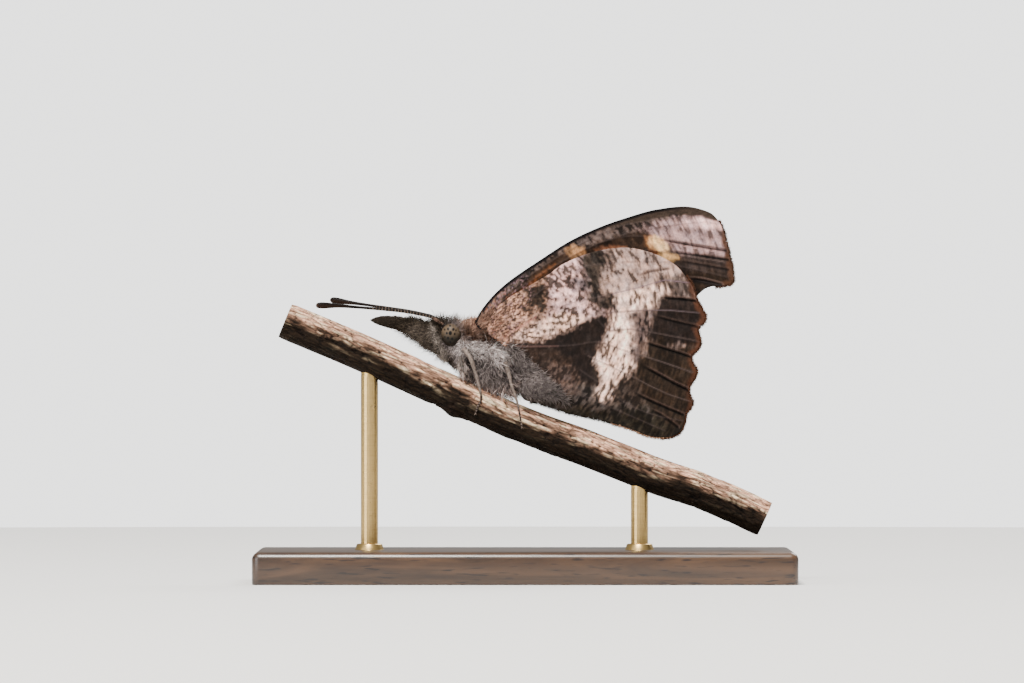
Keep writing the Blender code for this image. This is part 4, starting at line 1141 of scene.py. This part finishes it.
def eyeMaterial():
    material, tree, shader = newMaterial("compound eye", (0.2, 0.18, 0.1), 0.5)
    painted = addNode(tree, "Attribute", {}, attribute_name="markings").outputs["Color"]
    place = addNode(tree, "TexCoord", {}).outputs["Object"]
    facets = addNode(tree, "TexVoronoi", {"Vector": place, "Scale": eyes["facets"]}).outputs["Distance"]
    feed(tree, shader, {"Base Color": painted, "Normal": bump(tree, facets, 0.6, 0.01, invert=True),
                        "Specular IOR Level": 0.12, "Coat Weight": 0.06, "Coat Roughness": 0.3})
    return material


def makeEye(sideName, side, material):
    bm = bmesh.new()
    bmesh.ops.create_icosphere(bm, subdivisions=6, radius=1.0)
    x, z = eyes["centre"]
    for vert in bm.verts:
        vert.co = (x + vert.co.x * eyes["size"][0], side * eyes["inward"] + vert.co.y * eyes["size"][1],
                   z + vert.co.z * eyes["size"][2])
    mesh = meshFrom(bm, "eye")
    points = readPoints(mesh) / mm
    across, up = points[:, 0], points[:, 2]
    colours = coatOf(eyes["colour"], len(points))
    # painted shade: the lower part of each eye darker
    tint(colours, eyes["below"], ease(0.45, -0.6, up - z - 0.2 * np.hypot(across - x, up - z)))
    colours *= (1.0 + 0.18 * lumps(points, 0.07, 301) + 0.12 * lumps(points, 0.25, 302))[:, None]
    for column, row, radius in eyes["spots"]:
        spotX, spotZ = atPixels([(column, row)])[0]
        gap = np.hypot(across - spotX, (up - spotZ) * 0.8) * photo["scale"]
        tint(colours, eyes["dark"], ease(radius * 1.8, radius * 1.1, gap))
    setMarkings(mesh, colours)
    placePiece("eye." + sideName, mesh, "eye", ["eye_" + sideName], material)


eyeSurface = eyeMaterial()
for sideName, side in sides:
    makeEye(sideName, side, eyeSurface)

antennae = {
    "right": [(-7.6, 0.42, 23.88, 0.14), (-8.3, 0.5, 24.4, 0.15), (-8.9, 0.55, 24.68, 0.15),
              (-10.7, 0.95, 25.08, 0.145), (-12.5, 1.4, 25.36, 0.135), (-14.6, 1.95, 25.66, 0.13),
              (-16.2, 2.35, 25.88, 0.19), (-17.4, 2.65, 26.05, 0.3), (-17.9, 2.8, 26.12, 0.26),
              (-18.1, 2.83, 26.14, 0.08)],
    "left": [(-7.6, 0.42, 23.85, 0.14), (-8.3, 0.5, 24.32, 0.15), (-8.9, 0.55, 24.6, 0.15),
             (-10.7, 0.95, 24.97, 0.145), (-12.5, 1.45, 25.18, 0.135), (-15.3, 2.1, 25.42, 0.13),
             (-17.2, 2.6, 25.57, 0.19), (-18.6, 2.95, 25.6, 0.3), (-19.15, 3.1, 25.6, 0.24),
             (-19.3, 3.13, 25.6, 0.08)],
    "segment": 0.3, "pinch": 0.07, "colour": (30, 21, 16), "ring": (196, 186, 176),
    "foot": (178, 154, 138), "tip": (96, 66, 48), "club": (86, 56, 38),
}


def nearestOn(path, points):
    return np.array([np.argmin(((path - p) ** 2).sum(axis=1)) for p in points])


def makeAntenna(sideName, side, material):
    line = smoothLine(antennae[sideName], 0.05)
    path = line[:, :3] * (1.0, side, 1.0)
    run = runAlong(path)
    joint = np.abs(((run / antennae["segment"]) % 1.0) - 0.5) * 2.0
    radii = line[:, 3] * (1.0 - antennae["pinch"] * ease(0.7, 1.0, joint))
    mesh = meshFrom(makeTube(path, radii, len(path) - 1, 14), "antenna")
    points = readPoints(mesh) / mm
    nearest = nearestOn(path, points)
    share = run[nearest] / run[-1]
    colours = coatOf(antennae["colour"], len(points))
    below = ease(0.1, -0.1, points[:, 2] - path[nearest][:, 2])
    ring = ease(0.62, 0.9, joint[nearest]) * ease(0.66, 0.5, share) * (0.1 + 0.6 * below)
    tint(colours, antennae["ring"], ring)
    tint(colours, antennae["foot"], ease(0.1, 0.05, share))
    tint(colours, antennae["tip"], ease(0.985, 0.998, share))
    tint(colours, antennae["club"], 0.5 * ease(0.72, 0.85, share) * below)
    setMarkings(mesh, colours)
    placePiece("antenna." + sideName, mesh, "antenna", ["antenna_" + sideName], material)


antennaMaterial = scaledMaterial("antenna", 0.5, 0.5, 0.3)
for sideName, side in sides:
    makeAntenna(sideName, side, antennaMaterial)

# Legs: thigh, shin, jointed foot with spurs and claws
twigLine = [(-22.2, 24.2), (-16.2, 21.7), (-11.6, 19.65), (-6.9, 17.5), (-2.3, 15.4), (1.4, 13.9),
            (5.1, 12.6), (8.8, 11.15), (12.5, 9.7), (16.2, 8.5), (19.9, 6.9), (22.2, 5.85)]
twigRadius = 1.69
legs = {
    # colour, places of the joints along the leg, then points with radii
    "foreleg": ((150, 141, 135), (0.5,),
                [(-5.95, 20.85, 0.16), (-5.9, 20.2, 0.15), (-5.55, 19.3, 0.12), (-5.3, 18.85, 0.07)]),
    "midleg": ((174, 163, 156), (0.35, 0.7, 0.78, 0.86, 0.94),
               [(-5.7, 21.65, 0.2), (-5.05, 20.7, 0.2), (-4.6, 19.4, 0.17), (-4.2, 17.95, 0.13),
                (-4.05, 16.95, 0.11), (-4.35, 16.3, 0.09), (-4.55, 15.65, 0.07)]),
    "hindleg": ((174, 163, 156), (0.33, 0.66, 0.76, 0.85, 0.94),
                [(-1.85, 20.35, 0.2), (-1.45, 19.1, 0.18), (-1.2, 18.0, 0.14), (-0.75, 16.75, 0.12),
                 (-0.5, 15.6, 0.09), (-0.3, 14.4, 0.07)]),
}
legLook = {"reach": 1.28, "kneePinch": 0.28, "kneeWidth": 0.012, "foot": (74, 61, 55),
           "ring": (190, 180, 172), "ringCount": 26, "spine": 0.22, "claw": [0.035, 0.03, 0.02, 0.006]}


def legPath(points):
    # a path clear of the thorax and round the twig
    line = smoothLine([(x, 0.0, z, radius) for x, z, radius in points], 0.08)
    flat, radius = line[:, [0, 2]], line[:, 3]
    thorax = np.array([thoraxHalfWidth(flat[i:i + 1], 0.08 + radius[i])[0] for i in range(len(flat))])
    twigSide = np.array([barHalfWidth(flat[i:i + 1], twigLine, twigRadius + radius[i] - 0.02)[0]
                         for i in range(len(flat))])
    blocked = np.maximum(thorax, twigSide)
    out = np.pad(np.maximum(legLook["reach"], blocked), 5, mode="edge")
    soft = np.convolve(out, np.ones(11) / 11, mode="valid")
    return np.column_stack([flat[:, 0], np.maximum(soft, blocked), flat[:, 1]]), radius


def makeLeg(name, sideName, side, material):
    colour, knees, points = legs[name]
    path, radii = legPath(points)
    run = runAlong(path)
    share = run / run[-1]
    for knee in knees:
        pinch = np.exp(-((share - knee) / legLook["kneeWidth"]) ** 2)
        radii = radii * (1.0 - legLook["kneePinch"] * pinch)
    path = path * (1.0, side, 1.0)
    parts = [makeTube(path, radii, len(path) - 1, 14)]
    random = np.random.RandomState(len(name) + side)
    for i in range(len(path) // 3, len(path) - 2, 3):
        # short spines along the shin and foot
        turn = random.uniform(0, 2 * math.pi)
        out = Vector((math.cos(turn), side * abs(math.sin(turn)), -0.2)).normalized()
        bm = bmesh.new()
        bmesh.ops.create_cone(bm, segments=5, radius1=0.022, radius2=0.004, depth=legLook["spine"],
                              cap_ends=True)
        aim = (out + Vector((0, 0, -1.0))).normalized().to_track_quat("Z", "Y").to_matrix().to_4x4()
        place = Matrix.Translation(Vector(path[i]) + out * (radii[i] + 0.04))
        bmesh.ops.transform(bm, matrix=place @ aim, verts=bm.verts)
        parts.append(bm)
    for turn in (-0.5, 0.5):
        # the two claws
        end = Vector(path[-1])
        along = (end - Vector(path[-4])).normalized()
        hook = [end + along * reach + Vector((turn * reach, -side * drop, 0.0))
                for reach, drop in ((0.0, 0.0), (0.1, 0.0), (0.18, 0.04), (0.22, 0.12))]
        parts.append(makeTube(hook, legLook["claw"], 6, 6))
    mesh = meshFrom(joinAll(parts), "leg")
    points = readPoints(mesh) / mm
    share = share[nearestOn(path, points)]
    colours = coatOf(colour, len(points))
    colours *= (1.0 + 0.5 * lumps(points, (0.1, 0.1, 0.16), 320))[:, None]
    tint(colours, legLook["foot"], ease(0.58, 0.76, share))
    rings = np.abs(((share * legLook["ringCount"]) % 1.0) - 0.5) * 2
    tint(colours, legLook["ring"], ease(0.75, 0.95, rings) * ease(0.6, 0.7, share) * 0.7)
    setMarkings(mesh, colours)
    placePiece(name + "." + sideName, mesh, "leg", [name + "_" + sideName], material)


legMaterial = scaledMaterial("leg scales", 0.6, 0.75, 0.5)
for sideName, side in sides:
    for legName in legs:
        makeLeg(legName, sideName, side, legMaterial)

# Twig: weathered bark with long furrows, pits and sawn ends
print("stage: twig")
stand = {"size": (50.0, 26.0, 3.0), "edge": 0.7, "rodRadius": 0.8, "collar": 1.35, "collarHeight": 0.55,
         "tips": [(-14.4, 17.9, 19.6), (10.6, 7.5, 9.2)]}
twig = {"length": 48.0, "rings": 800, "sides": 112, "fibre": 0.065, "furrow": 0.19, "swell": 0.08,
        "pit": 0.12, "scar": 0.42, "scarAt": -6.7, "colour": (221, 204, 190),
        "pits": [(346, 330), (332, 337), (440, 385), (485, 389), (420, 380), (447, 382), (516, 403),
                 (544, 425), (600, 446), (380, 352), (650, 470), (700, 482)],
        # the sawn ends' rings from the bark in: width, colour
        "grain": [(0.12, (96, 76, 60)), (0.06, (178, 158, 130)), (0.2, (198, 178, 150)),
                  (0.05, (166, 142, 112)), (0.24, (200, 182, 154)), (0.05, (164, 140, 110)),
                  (0.3, (196, 176, 146)), (0.05, (160, 134, 104)), (0.2, (186, 162, 130)),
                  (0.08, (104, 80, 60))]}


def makeTwig(material):
    line = smoothLine(twigLine, 0.1)
    path = np.column_stack([line[:, 0], np.zeros(len(line)), line[:, 1]])
    bm, u, v = rolledGrid(twig["rings"], twig["sides"])
    layer = bm.verts.layers.float_color.new("markings")
    centre, across, upward, radius = tubeSpots(path, [twigRadius] * len(path), u)
    turn = 2 * math.pi * (v % 1.0)
    out = across * np.cos(turn)[:, None] + upward * np.sin(turn)[:, None]
    roll = np.column_stack([u * twig["length"], twigRadius * np.cos(turn), twigRadius * np.sin(turn)])
    bend = roll + np.column_stack([np.zeros(len(u)), 0.25 * lumps(roll, (2.5, 1.0, 1.0), 401),
                                   0.25 * lumps(roll, (2.5, 1.0, 1.0), 402)])

    def along(points, length, width, seed):
        return lumps(points, (length, width, width), seed)

    coarse = along(bend, 2.8, 0.5, 403)
    fibre = along(bend, 1.2, 0.14, 404)
    fine = along(bend, 0.28, 0.1, 405)
    crack = np.clip(1.0 - np.abs(along(bend, 1.5, 0.34, 406)) / 0.16, 0, 1)
    crack *= ease(-0.1, 0.5, along(roll, 1.8, 0.9, 407))
    height = 0.03 + twig["swell"] * along(roll, 6.0, 2.0, 408) + 0.07 * coarse + twig["fibre"] * fibre
    height = (height + 0.02 * fine - twig["furrow"] * crack) * ease(0.0, 0.012, np.minimum(u, 1.0 - u))
    held = np.zeros(len(u))
    for rodX, low, high in stand["tips"]:
        held = np.maximum(held, ease(1.8, 1.0, np.abs(centre[:, 0] - rodX)) * ease(-0.1, -0.5, out[:, 2]))
    spots = centre + out * (radius + np.minimum(0.0, height - 0.06) * (1.0 - held))[:, None]
    # how far the bark faces the light, for the painted shade below
    facingLight = out @ np.array((0.38, -0.1, 0.92))
    # pits and the bud scar below
    pixels = toPixels(spots[:, 0], spots[:, 2])
    pit = np.zeros(len(u))
    for column, row in twig["pits"]:
        gap = np.hypot((pixels[:, 0] - column) * 0.8, pixels[:, 1] - row)
        pit = np.maximum(pit, ease(1.9, 0.7, gap) * (out[:, 1] < 0.2))
    scar = np.exp(-((spots[:, 0] - twig["scarAt"]) / 0.8) ** 2) * np.maximum(0.0, -out[:, 2]) ** 2
    spots += out * (twig["scar"] * scar - twig["pit"] * pit)[:, None]
    speck = ease(0.55, 0.75, along(roll, 0.3, 0.22, 420)) * ease(-0.5, 0.1, along(roll, 2.0, 1.0, 421))
    colours = coatOf(twig["colour"], len(u))
    for colour, share in (
            ((232, 218, 206), ease(0.0, 0.7, fibre + 0.4 * coarse)),
            ((140, 112, 94), 0.6 * ease(0.1, 0.8, -fibre - 0.5 * coarse)),
            ((172, 146, 122), 0.5 * ease(0.2, 0.9, along(roll, 1.6, 0.6, 409))),
            # darker on the side turned from the light: partly the bark's own darker underside, partly
            # painted shade
            ((112, 86, 66), 0.75 * ease(0.75, 0.3, facingLight + 0.4 * coarse + 0.3 * fibre)),
            ((26, 17, 9), 0.95 * ease(0.52, -0.05, facingLight + 0.32 * coarse + 0.3 * fibre)),
            ((46, 30, 24), 0.85 * np.clip(crack, 0, 1)),
            ((50, 36, 28), 0.8 * speck),
            ((40, 26, 22), 0.9 * pit),
            ((60, 42, 34), 0.8 * np.clip(scar * 1.5, 0, 1))):
        tint(colours, colour, share)
    streak = 0.8 * along(bend, 0.9, 0.11, 411) + 0.7 * along(bend, 0.2, 0.1, 412)
    slit = np.clip(1.0 - np.abs(along(bend, 1.2, 0.2, 413)) / 0.17, 0, 1)
    slit *= ease(-0.1, 0.3, along(roll, 0.8, 0.5, 414))
    colours *= (1.0 + 0.34 * streak + 0.14 * fine)[:, None] * (1.0 - 0.9 * slit)[:, None]
    colours /= np.maximum(1.0, colours.max(axis=1))[:, None]
    for i, vert in enumerate(bm.verts):
        vert[layer] = (*np.clip(colours[i], 0, 1), 1.0)
        vert.co = spots[i]
    bmesh.ops.remove_doubles(bm, verts=bm.verts, dist=1e-5)
    rims = [edge for edge in bm.edges if edge.is_boundary]
    ends = bmesh.ops.holes_fill(bm, edges=rims, sides=0)["faces"]
    for width, colour in twig["grain"]:
        bmesh.ops.inset_region(bm, faces=ends, thickness=width, use_even_offset=False)
        for face in ends:
            for vert in face.verts:
                vert[layer] = (*paint(*colour), 1.0)
    bmesh.ops.triangulate(bm, faces=ends)
    bmesh.ops.recalc_face_normals(bm, faces=bm.faces)
    placePiece("twig", meshFrom(bm, "twig"), "bark", ["twig_perch"], material)


def barkMaterial():
    # the painted bark, with fine fibres and long plates along the twig
    material, tree, shader = newMaterial("bark", (0.4, 0.3, 0.2), 0.88)
    painted = addNode(tree, "Attribute", {}, attribute_name="markings").outputs["Color"]
    place = addNode(tree, "TexCoord", {}).outputs["Object"]
    turned = addNode(tree, "Mapping", {"Vector": place, "Rotation": (0.0, math.radians(-22.5), 0.0)})
    stretch, plates = (addNode(tree, "Mapping", {"Vector": turned.outputs["Vector"], "Scale": scale})
                       for scale in ((2200.0, 8000.0, 8000.0), (800.0, 3600.0, 3600.0)))
    fibres = addNode(tree, "TexNoise", {"Vector": stretch.outputs["Vector"], "Scale": 1.0, "Detail": 4.0,
                                        "Roughness": 0.65})
    wobble = addNode(tree, "Mix", {"Factor": 0.35, "A": plates.outputs["Vector"],
                                   "B": fibres.outputs["Color"]}, data_type="VECTOR")
    splits = addNode(tree, "TexVoronoi", {"Vector": wobble.outputs["Result"], "Scale": 1.0},
                     feature="DISTANCE_TO_EDGE")
    dark = sumUp(tree, "MULTIPLY", spread(tree, splits.outputs["Distance"], 0.0, 0.09, 0.3, 1.0),
                 spread(tree, fibres.outputs["Fac"], 0.3, 0.7, 0.5, 1.4))
    feed(tree, shader, {"Base Color": toned(tree, painted, dark), "Specular IOR Level": 0.12,
                        "Normal": bump(tree, dark, 0.8, 0.08)})
    return material


makeTwig(barkMaterial())

# Stand: walnut base and brass rods
print("stage: stand")


def walnutMaterial():
    material, tree, shader = newMaterial("walnut", (0.1, 0.05, 0.03), 0.38)
    grain = noise(tree, stretched(tree, (60.0, 600.0, 600.0)), 1.0, 5.0, Distortion=1.2)
    colour = ramp(tree, grain, (0.32, (0.020, 0.0095, 0.005)), (0.7, (0.085, 0.042, 0.020)))
    pores = noise(tree, stretched(tree, (500.0, 5200.0, 5200.0)), 1.0, 1.0)
    dark = spread(tree, pores, 0.62, 0.72, 0.0, 1.0)
    grained = mixColour(tree, "MIX", dark, colour, (0.012, 0.006, 0.004, 1.0))
    feed(tree, shader, {"Base Color": grained, "Normal": bump(tree, dark, 0.12, 0.04, invert=True),
                        "Coat Weight": 0.35, "Coat Roughness": 0.25})
    return material


def brassMaterial():
    material, tree, shader = newMaterial("brass", (0.62, 0.42, 0.16), 0.3)
    lines = noise(tree, stretched(tree, (900.0, 900.0, 9000.0)), 1.0, 2.0)
    tone = mixColour(tree, "MIX", lines, (0.66, 0.46, 0.19, 1.0), (0.5, 0.33, 0.12, 1.0))
    feed(tree, shader, {"Metallic": 1.0, "Roughness": spread(tree, lines, 0.0, 1.0, 0.22, 0.42),
                        "Base Color": tone})
    return material


def bevelEdges(bm, edges, offset, segments):
    bmesh.ops.bevel(bm, geom=edges, offset=offset, offset_type="OFFSET", segments=segments, profile=0.5,
                    affect="EDGES", material=-1)


def makeDisc(x, low, high, radius, upper):
    bm = bmesh.new()
    bmesh.ops.create_cone(bm, segments=48, radius1=radius, radius2=upper, depth=high - low, cap_ends=True)
    bmesh.ops.translate(bm, vec=(x, 0.0, (low + high) / 2), verts=bm.verts)
    return bm


def placeStand(name, bm, slot, nodes, material):
    piece = placePiece(name, meshFrom(bm, name), slot, nodes, material)
    piece.data.set_sharp_from_angle(angle=math.radians(35))


def makeStand(walnut, brass):
    top = stand["size"][2]
    bm = bmesh.new()
    bmesh.ops.create_cube(bm, size=1.0)
    bmesh.ops.scale(bm, vec=stand["size"], verts=bm.verts)
    bmesh.ops.translate(bm, vec=(0.0, 0.0, top / 2), verts=bm.verts)
    upper = [edge for edge in bm.edges if max(vert.co.z for vert in edge.verts) > top / 2]
    bevelEdges(bm, upper, stand["edge"], 6)
    bevelEdges(bm, [edge for edge in bm.edges if all(vert.co.z < 0.01 for vert in edge.verts)], 0.15, 2)
    placeStand("standBase", bm, "walnut", ["stand_base"], walnut)
    collars, tips = [], []
    for x, low, high in stand["tips"]:
        disc = makeDisc(x, top, top + stand["collarHeight"], stand["collar"], stand["collar"] * 0.86)
        rim = [edge for edge in disc.edges if all(vert.co.z > top + 0.3 for vert in edge.verts)]
        bevelEdges(disc, rim, 0.1, 3)
        collars.append(disc)
        # the rods' ends, let into the underside of the twig
        tips.append(makeDisc(x, low, high, stand["rodRadius"] - 0.01, stand["rodRadius"] - 0.01))
    placeStand("rodCollars", joinAll(collars), "brass", [], brass)
    placeStand("rodTips", joinAll(tips), "brass", [], brass)
    for node in ("stand_rod_front", "stand_rod_rear"):
        for slot in bpy.data.objects[node].material_slots:
            slot.material = brass


makeStand(walnutMaterial(), brassMaterial())
